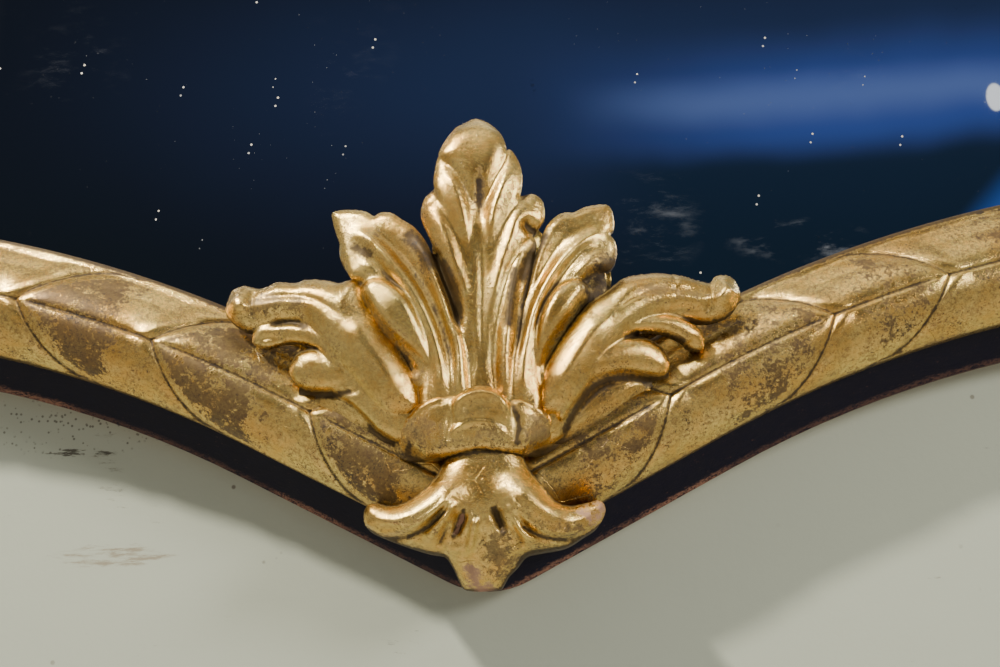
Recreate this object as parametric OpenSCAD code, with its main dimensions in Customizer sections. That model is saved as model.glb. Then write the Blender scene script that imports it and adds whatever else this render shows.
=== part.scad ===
// Overmantel mirror: a brace-shaped frame with a carved leaf moulding, a black splayed edge, and an acanthus
// ornament over the cusp of the bottom rail and of the top rail.
// Every piece is drawn lying on its back, x to the right, y up the wall and z out from the wall, and stand()
// turns it upright: the front then faces -Y, and the origin is the middle of the mirror on the wall's face.

/* [Overall] */
// Width over the outer edges
overall_w = 1400; // [1240:10:1800]
// Height over the tips of the two cusps
overall_h = 860; // [800:10:1100]
// Radius of the four corners at the outer edge
corner_r = 110; // [90:1:130]

/* [Brace curve] */
// Slope of the two arms that meet in the cusp, in degrees
cusp_angle = 27.5; // [24:0.5:31]
// Distance from the middle to the end of a straight arm
arm_x = 115; // [105:1:130]
// Radius of the cusp's rounded tip
nose_r = 40; // [25:1:50]
// Radius of the shoulder that turns the arm level
shoulder_r = 520; // [440:5:560]

/* [Carcass] */
// Width of a rail, from its outer edge to the sight edge
rail_w = 68; // [64:0.5:80]
// Thickness of the carcass
carcass_t = 22; // [20:0.5:28]
// Width of the splayed black edge
edge_w = 14; // [10:0.5:16]
// Thickness of the carcass at the outer arris
arris_t = 5; // [3:0.5:8]
// How far the moulding reaches over the carcass opening
lip_w = 11; // [9:0.5:12]
// Width of the rebate that takes the backboards
board_rebate_w = 12; // [11:0.5:13]

/* [Moulding] */
// Height of the moulding at its crown
moulding_t = 24; // [18:0.5:30]
// Height of the moulding's plain outer side
moulding_side_t = 8; // [5:0.5:10]
// Width of the bead at the sight edge
bead_w = 6; // [4:0.5:8]
// Height of the bead
bead_t = 10.5; // [8:0.5:12]

/* [Plate and backing] */
// Thickness of the mirror plate
plate_t = 4; // [3:0.5:5]
// Room round the plate for the wood to move
plate_play = 2; // [1.5:0.5:3]
// Thickness of a backboard
board_t = 8; // [6:0.5:9]
// Gap between two backboards and round them
board_play = 1; // [0.5:0.5:1.5]
// Length of a glazing block
block_l = 36; // [25:1:45]
// Width of a glazing block
block_w = 9.5; // [7:0.5:11]
// Shank diameter of a backboard screw
board_screw_d = 2.8; // [2:0.2:3.2]
// Length of a backboard screw
board_screw_l = 16; // [12:0.5:18]

/* [Carcass joints] */
// Length of the loose spline across a joint
spline_l = 40; // [30:1:48]
// Width of a spline
spline_w = 16; // [12:0.5:18]
// Thickness of a spline
spline_t = 4; // [3:0.5:5]
// Clearance round a spline in its slot
spline_play = 0.15; // [0.1:0.05:0.3]

/* [Ornament] */
// Width of the ornament over the two side leaves
ornament_w = 230; // [215:1:245]
// Height of the ornament from the cusp's tip to the tip of the crown
ornament_h = 212; // [200:1:225]
// Height of the collar's crest above the carcass
collar_crest = 48; // [44:1:54]
// Thickness of the plinth under the collar
plinth_t = 16; // [12:0.5:18]
// Half width of the gap in the moulding that the ornament fills
ornament_gap = 30; // [28:0.5:33]
// Clearance between carved pieces and what they sit on
seat_gap = 0.3; // [0.2:0.05:0.4]
// Shank diameter of an ornament screw
ornament_screw_d = 4; // [3:0.2:5]
// Length of an ornament screw
ornament_screw_l = 34; // [30:0.5:35]

/* [Hanging] */
// Distance from the wall to the back of the carcass, which is the thickness of a wall pad
wall_gap = 10; // [9.5:0.5:14]
// Diameter of a wall pad
pad_d = 22; // [15:0.5:28]
// Distance of the pads from the middle of the mirror
pad_x = 520; // [450:5:540]
// Distance of the ring hinges below the height over the cusps
hinge_drop = 280; // [265:1:350]
// Distance of the hangers from the outer edge
hanger_u = 24; // [21:0.5:26]
// Width of a strap
strap_w = 14; // [12:0.5:16]
// Length of a strap below its hinge
strap_l = 46; // [42:1:60]
// Thickness of the strap's metal
strap_t = 1.5; // [1:0.1:1.6]
// Diameter of the ring's wire
wire_d = 3.5; // [3:0.1:3.6]
// Radius of the ring's bow, at the middle of the wire
ring_r = 13; // [12.5:0.1:14.5]
// Clearance round the wire in the strap's eye
eye_play = 0.1; // [0.05:0.01:0.1]
// Shank diameter of a hanger screw
hanger_screw_d = 3.4; // [3:0.2:4]
// Length of a hanger screw
hanger_screw_l = 15; // [12:0.5:17]

/* [Hidden] */

GILT = [0.78, 0.62, 0.28];
PINE = [0.80, 0.66, 0.46];
EBONISED = [0.10, 0.10, 0.13];
FAR = 2000;

// The brace curve, for the bottom right quarter. The nose is rounded, so the arms' own meeting point lies
// a little below the tip.
nose_y = -overall_h / 2;
tip_y = nose_y - nose_r * (1 / cos(cusp_angle) - 1);
arm_l = arm_x / cos(cusp_angle);
arm_end = [arm_x, tip_y + arm_x * tan(cusp_angle)];
shoulder_c = arm_end + shoulder_r * [sin(cusp_angle), -cos(cusp_angle)];
flat_y = shoulder_c.y + shoulder_r;
corner_c = [overall_w / 2 - corner_r, flat_y + corner_r];

// Depths from the wall
carcass_back = wall_gap;
carcass_front = carcass_back + carcass_t;
board_front = carcass_back + board_t;
plate_back = carcass_front - plate_t;

// Places across a rail, from its outer edge
opening_u = rail_w - lip_w;
board_rebate_u = opening_u - board_rebate_w;
board_u = board_rebate_u + board_play;
plate_u = opening_u + plate_play;
board_screw_u = (board_u + opening_u) / 2;
spline_u = (edge_w + board_rebate_u) / 2 + 1;
pad_u = board_rebate_u / 2;

// The middle board is wider than the two arms
board_split = overall_w / 6;

screw_play = 0.2;
screw_fn = 24;

// ---- placing ----

module stand() {
    rotate([90, 0, 0]) children();
}

// Turns the bottom right quarter into any other.
module quarter(left, top) {
    mirror([left, 0, 0]) mirror([0, top, 0]) children();
}

module every_quarter() {
    for (left = [0, 1], top = [0, 1]) quarter(left, top) children();
}

// A place on the straight arm, x from the middle, u in from the outer edge.
module on_arm(x, u) {
    translate([0, tip_y, 0]) rotate([0, 0, cusp_angle])
        translate([x / cos(cusp_angle) + u * tan(cusp_angle), u, 0]) children();
}

// A place on the shoulder, at a fraction of its sweep from the arm.
module on_shoulder(part, u) {
    translate([shoulder_c.x, shoulder_c.y, 0]) rotate([0, 0, cusp_angle * (1 - part)])
        translate([0, shoulder_r + u, 0]) children();
}

module on_flat(x, u) {
    translate([x, flat_y + u, 0]) children();
}

module on_side(y, u) {
    translate([overall_w / 2 - u, y, 0]) rotate([0, 0, 90]) children();
}

// ---- sweeps along the brace curve, child: the rail's section, u in from the outer edge, then depth ----

module straight_run(length) {
    rotate([90, 0, 90]) linear_extrude(length) children();
}

// The arm's lower end is mitred on the middle line.
module arm_run() {
    intersection() {
        translate([0, tip_y, 0]) rotate([0, 0, cusp_angle]) straight_run(arm_l) children();
        translate([0, -FAR / 2, 0]) cube([FAR, FAR, FAR]);
    }
}

module shoulder_run() {
    translate([shoulder_c.x, shoulder_c.y, 0]) rotate([0, 0, 90])
        rotate_extrude(angle = cusp_angle, $fn = 360) translate([shoulder_r, 0]) children();
}

module flat_run() {
    translate([shoulder_c.x, flat_y, 0]) straight_run(corner_c.x - shoulder_c.x) children();
}

module corner_run() {
    translate([corner_c.x, corner_c.y, 0]) rotate([0, 0, -90])
        rotate_extrude(angle = 90, $fn = 120) translate([corner_r, 0]) mirror([1, 0]) children();
}

module side_run() {
    translate([overall_w / 2, corner_c.y, 0]) rotate([0, 0, 90]) straight_run(-2 * corner_c.y) children();
}

// ---- outlines ----

function arc(centre, radius, from, to, steps) =
    [for (i = [0:steps]) let (a = from + (to - from) * i / steps) centre + radius * [cos(a), sin(a)]];

// The bottom right quarter of the outline, u in from the outer edge.
function quarter_outline(u) = concat(
    [[0, tip_y + u / cos(cusp_angle)]],
    arc(shoulder_c, shoulder_r + u, 90 + cusp_angle, 90, 12),
    arc(corner_c, corner_r - u, -90, 0, 12));

function flipped(points, sx, sy) = [for (p = points) [sx * p.x, sy * p.y]];

function backwards(points) = [for (i = [len(points) - 1:-1:0]) points[i]];

function without_first(points) = [for (i = [1:len(points) - 1]) points[i]];

// The whole closed outline. The two cusps' points belong to two quarters each, so one of each is left out.
function outline(u) = let (q = quarter_outline(u)) concat(
    q,
    backwards(flipped(q, 1, -1)),
    without_first(flipped(q, -1, -1)),
    backwards(without_first(flipped(q, -1, 1))));

module whole_outline(u) {
    polygon(outline(u));
}

// ---- rail sections ----

module carcass_section() {
    polygon([[0, carcass_back], [0, carcass_back + arris_t], [edge_w, carcass_front],
        [opening_u, carcass_front], [opening_u, board_front], [board_rebate_u, board_front],
        [board_rebate_u, carcass_back]]);
}

dome_w = rail_w - edge_w - bead_w;
dome_steps = 9;

function dome(part) = [edge_w + dome_w * part,
    carcass_front + moulding_side_t + (moulding_t - moulding_side_t) * pow(sin(180 * pow(part, 0.9)), 0.7)];

// The moulding's section, each point [u, depth], grown all round by a clearance.
function moulding_section(grow = 0) = concat(
    [[edge_w - grow, carcass_front]],
    [for (i = [0:dome_steps - 1]) dome(i / dome_steps) + (i > 0 ? [0, grow] : [-grow, grow])],
    [[rail_w - bead_w, carcass_front + moulding_side_t + grow],
        [rail_w - bead_w * 0.75, carcass_front + bead_t + grow],
        [rail_w - bead_w * 0.25, carcass_front + bead_t + grow],
        [rail_w + grow, carcass_front + moulding_side_t + grow],
        [rail_w + grow, carcass_front]]);

// ---- the moulding's sweep through stations, each [place on the outer edge, direction in across the rail] ----

function unit(a) = [cos(a), sin(a)];

function arm_station(x) = [[x, tip_y + x * tan(cusp_angle)], [0, 1 / cos(cusp_angle)]];

function shoulder_stations(steps) =
    [for (i = [0:steps]) let (a = 90 + cusp_angle * (1 - i / steps)) [shoulder_c + shoulder_r * unit(a), unit(a)]];

function corner_stations(steps) =
    [for (i = [0:steps]) let (a = -90 + 90 * i / steps) [corner_c + corner_r * unit(a), -unit(a)]];

module swept(stations, section) {
    n = len(section);
    last = (len(stations) - 1) * n;
    points = [for (s = stations, p = section) let (q = s[0] + s[1] * p.x) [q.x, q.y, p.y]];
    walls = [for (i = [0:len(stations) - 2], j = [0:n - 1])
        let (a = i * n + j, b = i * n + (j + 1) % n) [a, b, b + n, a + n]];
    polyhedron(points, concat([[for (j = [n - 1:-1:0]) j]], walls, [[for (j = [0:n - 1]) last + j]]));
}

// ---- fastenings ----

// A slotted countersunk screw, head on the z = 0 plane, point towards +z.
module screw(d, length) {
    head_h = d * 0.7;
    difference() {
        union() {
            cylinder(h = head_h, d1 = 2 * d, d2 = d, $fn = screw_fn);
            translate([0, 0, head_h]) cylinder(h = length - head_h - d, d = d, $fn = screw_fn);
            translate([0, 0, length - d]) cylinder(h = d, d1 = d, d2 = d * 0.2, $fn = screw_fn);
        }
        translate([-d, -d * 0.13, -1]) cube([2 * d, d * 0.26, 1 + d * 0.3]);
    }
}

// The hole for that screw, with its countersink.
module screw_hole(d, length) {
    head_h = d * 0.7;
    hole_d = d + 2 * screw_play;
    translate([0, 0, head_h]) cylinder(h = length - head_h + 1, d = hole_d, $fn = screw_fn);
    cylinder(h = head_h, d1 = 2 * d + 2 * screw_play, d2 = hole_d, $fn = screw_fn);
    translate([0, 0, -1]) cylinder(h = 1, d = 2 * d + 2 * screw_play, $fn = screw_fn);
}

board_screw_flats = [0.25, 0.75];

// Every backboard screw's place in one quarter.
module at_board_screws() {
    translate([0, 0, carcass_back]) {
        on_arm(arm_x * 0.6, board_screw_u) children();
        on_shoulder(0.3, board_screw_u) children();
        on_shoulder(0.75, board_screw_u) children();
        for (part = board_screw_flats)
            on_flat(shoulder_c.x + (corner_c.x - shoulder_c.x) * part, board_screw_u) children();
        on_side(corner_c.y * 0.5, board_screw_u) children();
    }
}

module board_screw_holes() {
    every_quarter() at_board_screws() screw_hole(board_screw_d, board_screw_l);
}

// The ornament's screws in one cusp: two into the plinth and two into the fan shell.
plinth_screw_u = board_rebate_u - ornament_screw_d;
fan_screw_u = edge_w + 3 * ornament_screw_d;

module at_ornament_screws() {
    for (left = [0, 1]) mirror([left, 0, 0]) translate([0, 0, carcass_back]) {
        on_arm(plinth_screw_x, plinth_screw_u) children();
        on_arm(fan_screw_x, fan_screw_u) children();
    }
}

plinth_screw_x = ornament_gap - 2 * ornament_screw_d;
fan_screw_x = 2.5 * ornament_screw_d;

module ornament_screw_holes() {
    at_ornament_screws() screw_hole(ornament_screw_d, ornament_screw_l);
}

// ---- splines ----

module spline(play = 0) {
    translate([-spline_l / 2 - play, -spline_w / 2 - play, (carcass_back + carcass_front - spline_t) / 2 - play])
        cube([spline_l + 2 * play, spline_w + 2 * play, spline_t + 2 * play]);
}

module at_arm_end() {
    translate([arm_end.x, arm_end.y, 0]) rotate([0, 0, cusp_angle]) translate([0, spline_u, 0]) children();
}

module at_side_end() {
    on_side(corner_c.y, spline_u) children();
}

// ---- carcass ----

// The outline of the cusp with its rounded nose, and everything above it.
module nose_cut() {
    nose = arc([0, nose_y + nose_r], nose_r, -90 - cusp_angle, -90 + cusp_angle, 8);
    up = [arm_x + rail_w, (arm_x + rail_w) * tan(cusp_angle) + tip_y];
    linear_extrude(FAR) polygon(concat(nose, [up, [up.x, 0], [-up.x, 0], [-up.x, up.y]]));
}

module carcass_cusp(top) {
    color(EBONISED) stand() mirror([0, top, 0]) difference() {
        intersection() {
            for (left = [0, 1]) mirror([left, 0, 0]) arm_run() carcass_section();
            nose_cut();
        }
        for (left = [0, 1]) mirror([left, 0, 0]) {
            at_arm_end() spline(spline_play);
            at_board_screws() screw_hole(board_screw_d, board_screw_l);
        }
        ornament_screw_holes();
    }
}

module pad_place() {
    on_flat(pad_x, pad_u) children();
}

module carcass_quarter(left, top) {
    color(EBONISED) stand() quarter(left, top) difference() {
        union() {
            shoulder_run() carcass_section();
            flat_run() carcass_section();
            corner_run() carcass_section();
        }
        at_arm_end() spline(spline_play);
        at_side_end() spline(spline_play);
        at_board_screws() screw_hole(board_screw_d, board_screw_l);
    }
}

module carcass_side(left) {
    color(EBONISED) stand() mirror([left, 0, 0]) difference() {
        side_run() carcass_section();
        for (top = [0, 1]) mirror([0, top, 0]) {
            at_side_end() spline(spline_play);
            at_board_screws() screw_hole(board_screw_d, board_screw_l);
        }
        at_hanger_screws() screw_hole(hanger_screw_d, hanger_screw_l);
    }
}

module carcass_bottom_cusp() { carcass_cusp(0); }
module carcass_top_cusp() { carcass_cusp(1); }
module carcass_bottom_left() { carcass_quarter(1, 0); }
module carcass_bottom_right() { carcass_quarter(0, 0); }
module carcass_top_left() { carcass_quarter(1, 1); }
module carcass_top_right() { carcass_quarter(0, 1); }
module carcass_side_left() { carcass_side(1); }
module carcass_side_right() { carcass_side(0); }

module joint_splines() {
    color(PINE) stand() every_quarter() {
        at_arm_end() spline();
        at_side_end() spline();
    }
}

// ---- moulding ----

// The moulding stops on each side of the ornament.
module moulding_quarter(left, top) {
    color(GILT) stand() quarter(left, top) swept(
        concat([arm_station(ornament_gap)], shoulder_stations(12), corner_stations(12)),
        moulding_section());
}

module moulding_side(left) {
    color(GILT) stand() mirror([left, 0, 0]) side_run() polygon(moulding_section());
}

module moulding_bottom_left() { moulding_quarter(1, 0); }
module moulding_bottom_right() { moulding_quarter(0, 0); }
module moulding_top_left() { moulding_quarter(1, 1); }
module moulding_top_right() { moulding_quarter(0, 1); }
module moulding_side_left() { moulding_side(1); }
module moulding_side_right() { moulding_side(0); }

// ---- plate and backing ----

module mirror_plate() {
    color([0.72, 0.78, 0.84]) stand()
        translate([0, 0, plate_back]) linear_extrude(plate_t) whole_outline(plate_u);
}

// A block is glued into the angle of the carcass and the plate's back, and the boards close over it.
module glazing_block() {
    translate([-block_l / 2, 0, board_front]) cube([block_l, block_w, plate_back - board_front]);
}

module glazing_blocks() {
    block_u = opening_u + seat_gap;
    color(PINE) stand() every_quarter() {
        on_arm(arm_x * 0.6, block_u) glazing_block();
        on_flat(shoulder_c.x + (corner_c.x - shoulder_c.x) * 0.15, block_u) glazing_block();
        on_flat(shoulder_c.x + (corner_c.x - shoulder_c.x) * 0.85, block_u) glazing_block();
        on_side(corner_c.y * 0.5, block_u) glazing_block();
    }
}

module backboard(from_x, to_x) {
    color(PINE) stand() difference() {
        translate([0, 0, carcass_back]) linear_extrude(board_t) intersection() {
            whole_outline(board_u);
            translate([from_x, -FAR / 2]) square([to_x - from_x, FAR]);
        }
        board_screw_holes();
    }
}

module backboard_left() { backboard(-FAR, -board_split - board_play / 2); }
module backboard_centre() { backboard(-board_split + board_play / 2, board_split - board_play / 2); }
module backboard_right() { backboard(board_split + board_play / 2, FAR); }

module backboard_screws() {
    color("dimgray") stand() every_quarter() at_board_screws() screw(board_screw_d, board_screw_l);
}

// ---- ornament ----

// The carving is laid out on a grid 230 wide and 212 high above the cusp's tip, left half, with crests up to
// 48 above the carcass, and scaled to size.
grid_x = ornament_w / 230;
grid_y = ornament_h / 212;
grid_z = collar_crest / 48;
lobe_fn = 12;
collar_half = 36;
collar_low = 56;
collar_high = 86;
plinth_low_u = board_rebate_u - plinth_t * 0.4375;
plinth_high_u = rail_w + plinth_t * 0.375;

function on_grid(p) = [p.x * grid_x, nose_y + p.y * grid_y];

// The crest of a lobe lies p.z above the carcass, and its foot at the depth `foot`.
module lobe_end(p, half_width, foot) {
    q = on_grid(p);
    r = half_width * grid_x;
    round_h = min(half_width * 0.8, 9) * grid_z;
    translate([q.x, q.y, carcass_front + p.z * grid_z - round_h]) scale([r, r, round_h]) sphere(1, $fn = lobe_fn);
    translate([q.x, q.y, foot]) cylinder(r = r * 0.85, h = 1, $fn = lobe_fn);
}

// A carved lobe between two places on the grid, [x, y, crest height, half width] each.
module lobe(a, b, foot) {
    hull() {
        lobe_end(a, a[3], foot);
        lobe_end(b, b[3], foot);
    }
}

module lobes(path, foot) {
    for (i = [0:len(path) - 2]) lobe(path[i], path[i + 1], foot);
}

// What the carving must clear: the moulding, with the seat gap.
module moulding_clearance() {
    for (left = [0, 1]) mirror([left, 0, 0])
        swept(concat([arm_station(ornament_gap - seat_gap)], shoulder_stations(12)), moulding_section(seat_gap));
}

// A strip of the cusp between two distances from the outer edge, out to the ends of the moulding.
module cusp_strip(u0, u1, grow = 0) {
    x = ornament_gap - 2 * seat_gap + grow;
    low = tip_y + u0 / cos(cusp_angle) - grow;
    high = tip_y + u1 / cos(cusp_angle) + grow;
    rise = x * tan(cusp_angle);
    polygon([[0, low], [x, low + rise], [x, high + rise], [0, high], [-x, high + rise], [-x, low + rise]]);
}

module plinth() {
    translate([0, 0, carcass_front]) linear_extrude(plinth_t) cusp_strip(plinth_low_u, plinth_high_u);
}

module plinth_clearance() {
    linear_extrude(carcass_front + plinth_t + seat_gap) cusp_strip(plinth_low_u, plinth_high_u, 2 * seat_gap);
}

module collar_zone(grow = 0) {
    low = on_grid([-collar_half, collar_low]) - [grow, grow];
    high = on_grid([collar_half, collar_high]) + [grow, grow];
    translate([low.x, low.y, carcass_front + plinth_t])
        cube([high.x - low.x, high.y - low.y, FAR]);
}

// The seam between the crown and the left side leaf, from the collar up to the leaf's tip. The zones on its
// two sides reach past the carving.
zone_half = 130;
zone_low = 40;
zone_high = 240;
seam = [[-40, zone_low], [-40, 80], [-32, 88], [-38, 108], [-52, 127], [-56, 139.5], [-zone_half, 143]];

function seam_line(side) = [for (p = seam) on_grid(p) + [side * seat_gap, side * seat_gap / 2]];

module crown_zone() {
    linear_extrude(FAR) polygon(concat(
        seam_line(1),
        [on_grid([-zone_half, zone_high]), on_grid([zone_half, zone_high])],
        backwards(flipped(seam_line(1), -1, 1))));
}

module left_leaf_zone() {
    linear_extrude(FAR) polygon(concat(seam_line(-1), [on_grid([-zone_half, zone_low])]));
}

carving_foot = carcass_front + plinth_t * 0.875;

crown_middle = [[0, 84, 30, 15], [0, 122, 33, 16], [0, 160, 36, 20], [0, 188, 35, 19], [0, 206, 31, 5.5]];
crown_tooth_low = [[0, 150, 30, 14], [-21, 169, 31, 6.5]];
crown_upright = [[-14, 88, 33, 12], [-24, 122, 36, 13], [-42, 145, 35, 15], [-58, 164, 30, 7.5]];
crown_teeth = [[[-42, 145, 33, 12], [-41, 163, 30, 6]], [[-42, 143, 33, 10], [-59, 148, 29, 6.5]]];
teardrop = [[-24, 88, 38, 8], [-28, 108, 41, 8], [-42, 128, 37, 7]];

module crown_lobes() {
    intersection() {
        for (left = [0, 1]) mirror([left, 0, 0]) {
            lobes(crown_tooth_low, carving_foot);
            lobes(crown_upright, carving_foot);
            for (tooth = crown_teeth) lobes(tooth, carving_foot);
            lobes(teardrop, carving_foot);
        }
        crown_zone();
    }
    lobes(crown_middle, carving_foot);
}

module crown(top) {
    color(GILT) stand() mirror([0, top, 0]) difference() {
        union() {
            difference() {
                crown_lobes();
                moulding_clearance();
            }
            plinth();
        }
        collar_zone(seat_gap);
        ornament_screw_holes();
    }
}

leaf_spine = [[-38, 78, 40, 10], [-56, 98, 42, 15], [-76, 114, 39, 16], [-92, 124, 38, 13], [-104, 127, 36, 9.5]];
leaf_teeth = [[[-62, 118, 38, 10], [-68, 131, 33, 6]], [[-80, 120, 38, 10], [-88, 130, 34, 6]],
    [[-56, 98, 37, 11], [-76, 96, 35, 7]]];

module side_leaf(left, top) {
    color(GILT) stand() quarter(left, top) difference() {
        intersection() {
            union() {
                lobes(leaf_spine, carving_foot);
                for (tooth = leaf_teeth) lobes(tooth, carving_foot);
            }
            left_leaf_zone();
        }
        moulding_clearance();
        plinth_clearance();
    }
}

collar_path = [[-26, 69, 38, 9], [-13, 72, 45, 12], [0, 73, 48, 12.5], [13, 72, 45, 12], [26, 69, 38, 9]];

module collar(top) {
    foot = carcass_front + plinth_t + seat_gap;
    color(GILT) stand() mirror([0, top, 0]) difference() {
        intersection() {
            collar_zone();
            lobes(collar_path, foot);
        }
        moulding_clearance();
    }
}

fan_ribs = [[[-10, 50, 30, 10], [-42, 33, 26, 7.5]], [[-8, 48, 31, 10], [-28, 29, 28, 8]],
    [[-4, 46, 33, 9], [-14, 22, 30, 8]]];
fan_tongue = [[0, 46, 35, 10], [0, 24, 32, 8], [0, 8, 25, 6]];

module fan_shell(top) {
    foot = carcass_front + seat_gap;
    color(GILT) stand() mirror([0, top, 0]) difference() {
        union() {
            for (left = [0, 1], rib = fan_ribs) mirror([left, 0, 0]) lobes(rib, foot);
            lobes(fan_tongue, foot);
        }
        collar_zone(seat_gap);
        plinth_clearance();
        moulding_clearance();
        ornament_screw_holes();
    }
}

module bottom_crown() { crown(0); }
module bottom_collar() { collar(0); }
module bottom_fan_shell() { fan_shell(0); }
module bottom_leaf_left() { side_leaf(0, 0); }
module bottom_leaf_right() { side_leaf(1, 0); }
module top_crown() { crown(1); }
module top_collar() { collar(1); }
module top_fan_shell() { fan_shell(1); }
module top_leaf_left() { side_leaf(0, 1); }
module top_leaf_right() { side_leaf(1, 1); }

module ornament_screws() {
    color("dimgray") stand() for (top = [0, 1]) mirror([0, top, 0])
        at_ornament_screws() screw(ornament_screw_d, ornament_screw_l);
}

// ---- hanging ----

hinge_y = overall_h / 2 - hinge_drop;
eye_r = wire_d / 2 + eye_play;
eye_outer_r = eye_r + strap_t;
ring_over_strap = 0.35;
hinge_depth = carcass_back - strap_t - wire_d / 2 - ring_over_strap;
hanger_x = overall_w / 2 - hanger_u;
hanger_screw_drops = [strap_l * 0.52, strap_l * 0.84];

module at_hanger_screws() {
    for (drop = hanger_screw_drops)
        translate([hanger_x, hinge_y - drop, carcass_back - strap_t]) children();
}

// The strap is bent round the ring's bar, so its section is a plate that ends in an eye.
module strap(left) {
    color([0.70, 0.56, 0.30]) stand() mirror([left, 0, 0]) difference() {
        translate([hanger_x - strap_w / 2, hinge_y, 0]) rotate([90, 0, 90])
            linear_extrude(strap_w) difference() {
                union() {
                    translate([0, hinge_depth]) circle(eye_outer_r, $fn = 48);
                    translate([-strap_l, carcass_back - strap_t]) square([strap_l, strap_t]);
                }
                translate([0, hinge_depth]) circle(eye_r, $fn = 48);
            }
        at_hanger_screws() screw_hole(hanger_screw_d, hanger_screw_l);
    }
}

// A D-shaped ring: a bar, two bends and a half-round bow, hanging down.
module ring(left) {
    bend_r = 3;
    bar_l = 2 * (ring_r - bend_r);
    color([0.70, 0.56, 0.30]) stand() mirror([left, 0, 0]) translate([hanger_x, hinge_y, hinge_depth]) {
        rotate([0, 90, 0]) cylinder(h = bar_l, d = wire_d, center = true, $fn = 48);
        for (side = [0, 1]) mirror([side, 0, 0]) translate([bar_l / 2, -bend_r, 0])
            rotate_extrude(angle = 90, $fn = 48) translate([bend_r, 0]) circle(d = wire_d, $fn = 48);
        translate([0, -bend_r, 0]) rotate([0, 0, 180])
            rotate_extrude(angle = 180, $fn = 96) translate([ring_r, 0]) circle(d = wire_d, $fn = 48);
    }
}

module strap_left() { strap(1); }
module strap_right() { strap(0); }
module ring_left() { ring(1); }
module ring_right() { ring(0); }

module hanger_screws() {
    color([0.70, 0.56, 0.30]) stand() for (left = [0, 1]) mirror([left, 0, 0])
        at_hanger_screws() screw(hanger_screw_d, hanger_screw_l);
}

module wall_pads() {
    color("darkolivegreen") stand() every_quarter() pad_place() cylinder(h = wall_gap, d = pad_d, $fn = 48);
}

carcass_bottom_cusp();
carcass_top_cusp();
carcass_bottom_left();
carcass_bottom_right();
carcass_top_left();
carcass_top_right();
carcass_side_left();
carcass_side_right();
joint_splines();
moulding_bottom_left();
moulding_bottom_right();
moulding_top_left();
moulding_top_right();
moulding_side_left();
moulding_side_right();
mirror_plate();
glazing_blocks();
backboard_left();
backboard_centre();
backboard_right();
backboard_screws();
bottom_crown();
bottom_collar();
bottom_fan_shell();
bottom_leaf_left();
bottom_leaf_right();
top_crown();
top_collar();
top_fan_shell();
top_leaf_left();
top_leaf_right();
ornament_screws();
strap_left();
strap_right();
ring_left();
ring_right();
hanger_screws();
wall_pads();
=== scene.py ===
"""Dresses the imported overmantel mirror: gilded carving, laurel moulding, black edge and old plate.

Every piece is made in the frame's own place, in metres. The carving is worked out as a relief: a height in
millimetres above the front of the carcass for every place on a grid, x from the middle and y up from the
tip of the cusp.
"""

import bpy
import numpy as np
from mathutils import Matrix, Vector


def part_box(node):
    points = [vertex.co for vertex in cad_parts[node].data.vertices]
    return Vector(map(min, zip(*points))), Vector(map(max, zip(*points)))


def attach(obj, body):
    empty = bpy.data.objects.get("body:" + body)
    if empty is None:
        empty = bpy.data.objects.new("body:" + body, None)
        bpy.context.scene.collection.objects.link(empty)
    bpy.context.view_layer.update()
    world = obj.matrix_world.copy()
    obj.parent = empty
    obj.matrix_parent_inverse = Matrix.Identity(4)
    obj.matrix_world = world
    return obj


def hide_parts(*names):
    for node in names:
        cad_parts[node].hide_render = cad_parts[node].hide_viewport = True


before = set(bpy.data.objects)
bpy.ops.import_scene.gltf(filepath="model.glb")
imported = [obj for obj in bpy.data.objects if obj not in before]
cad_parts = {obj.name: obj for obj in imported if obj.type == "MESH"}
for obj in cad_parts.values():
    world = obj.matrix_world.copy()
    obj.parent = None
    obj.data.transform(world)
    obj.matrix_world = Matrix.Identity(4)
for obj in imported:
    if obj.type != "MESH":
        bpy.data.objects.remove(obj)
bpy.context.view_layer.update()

bl_info = {
    "name": "Overmantel Mirror",
    "version": (1, 0, 0),
    "blender": (4, 5, 0),
    "location": "View3D > Sidebar > Mirror",
    "description": "Carved, gilded and aged pieces for an overmantel mirror with a brace-shaped frame",
    "category": "Object",
}

MM = 0.001

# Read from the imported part. The plate's front is level with the carcass's.
PLATE_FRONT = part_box("mirror_plate")[0][1]
CUSP_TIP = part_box("carcass_bottom_cusp")[0][2]
HALF_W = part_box("carcass_side_right")[1][0] / MM
HALF_H = -CUSP_TIP / MM
CARCASS_DEPTH = -PLATE_FRONT / MM

# The brace curve, as in the part: a straight arm, a shoulder, a level stretch and a corner, in millimetres.
# Places across the rail are counted from its outer edge.
CUSP_ANGLE = np.radians(27.5)
NOSE_R = 40.0
ARM_X = 115.0
SHOULDER_R = 520.0
CORNER_R = 110.0
EDGE_U, RAIL_U, BEAD_W = 14.0, 68.0, 6.0
MID_U = (EDGE_U + RAIL_U) / 2
CROWN_H, SIDE_H, BEAD_H = 24.0, 8.0, 10.5
FILLET_H, FILLET_W, FILLET_SLOPE = 12.1, 8.0, 0.58
ARM_FOOT = -NOSE_R * (1 / np.cos(CUSP_ANGLE) - 1)

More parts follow.
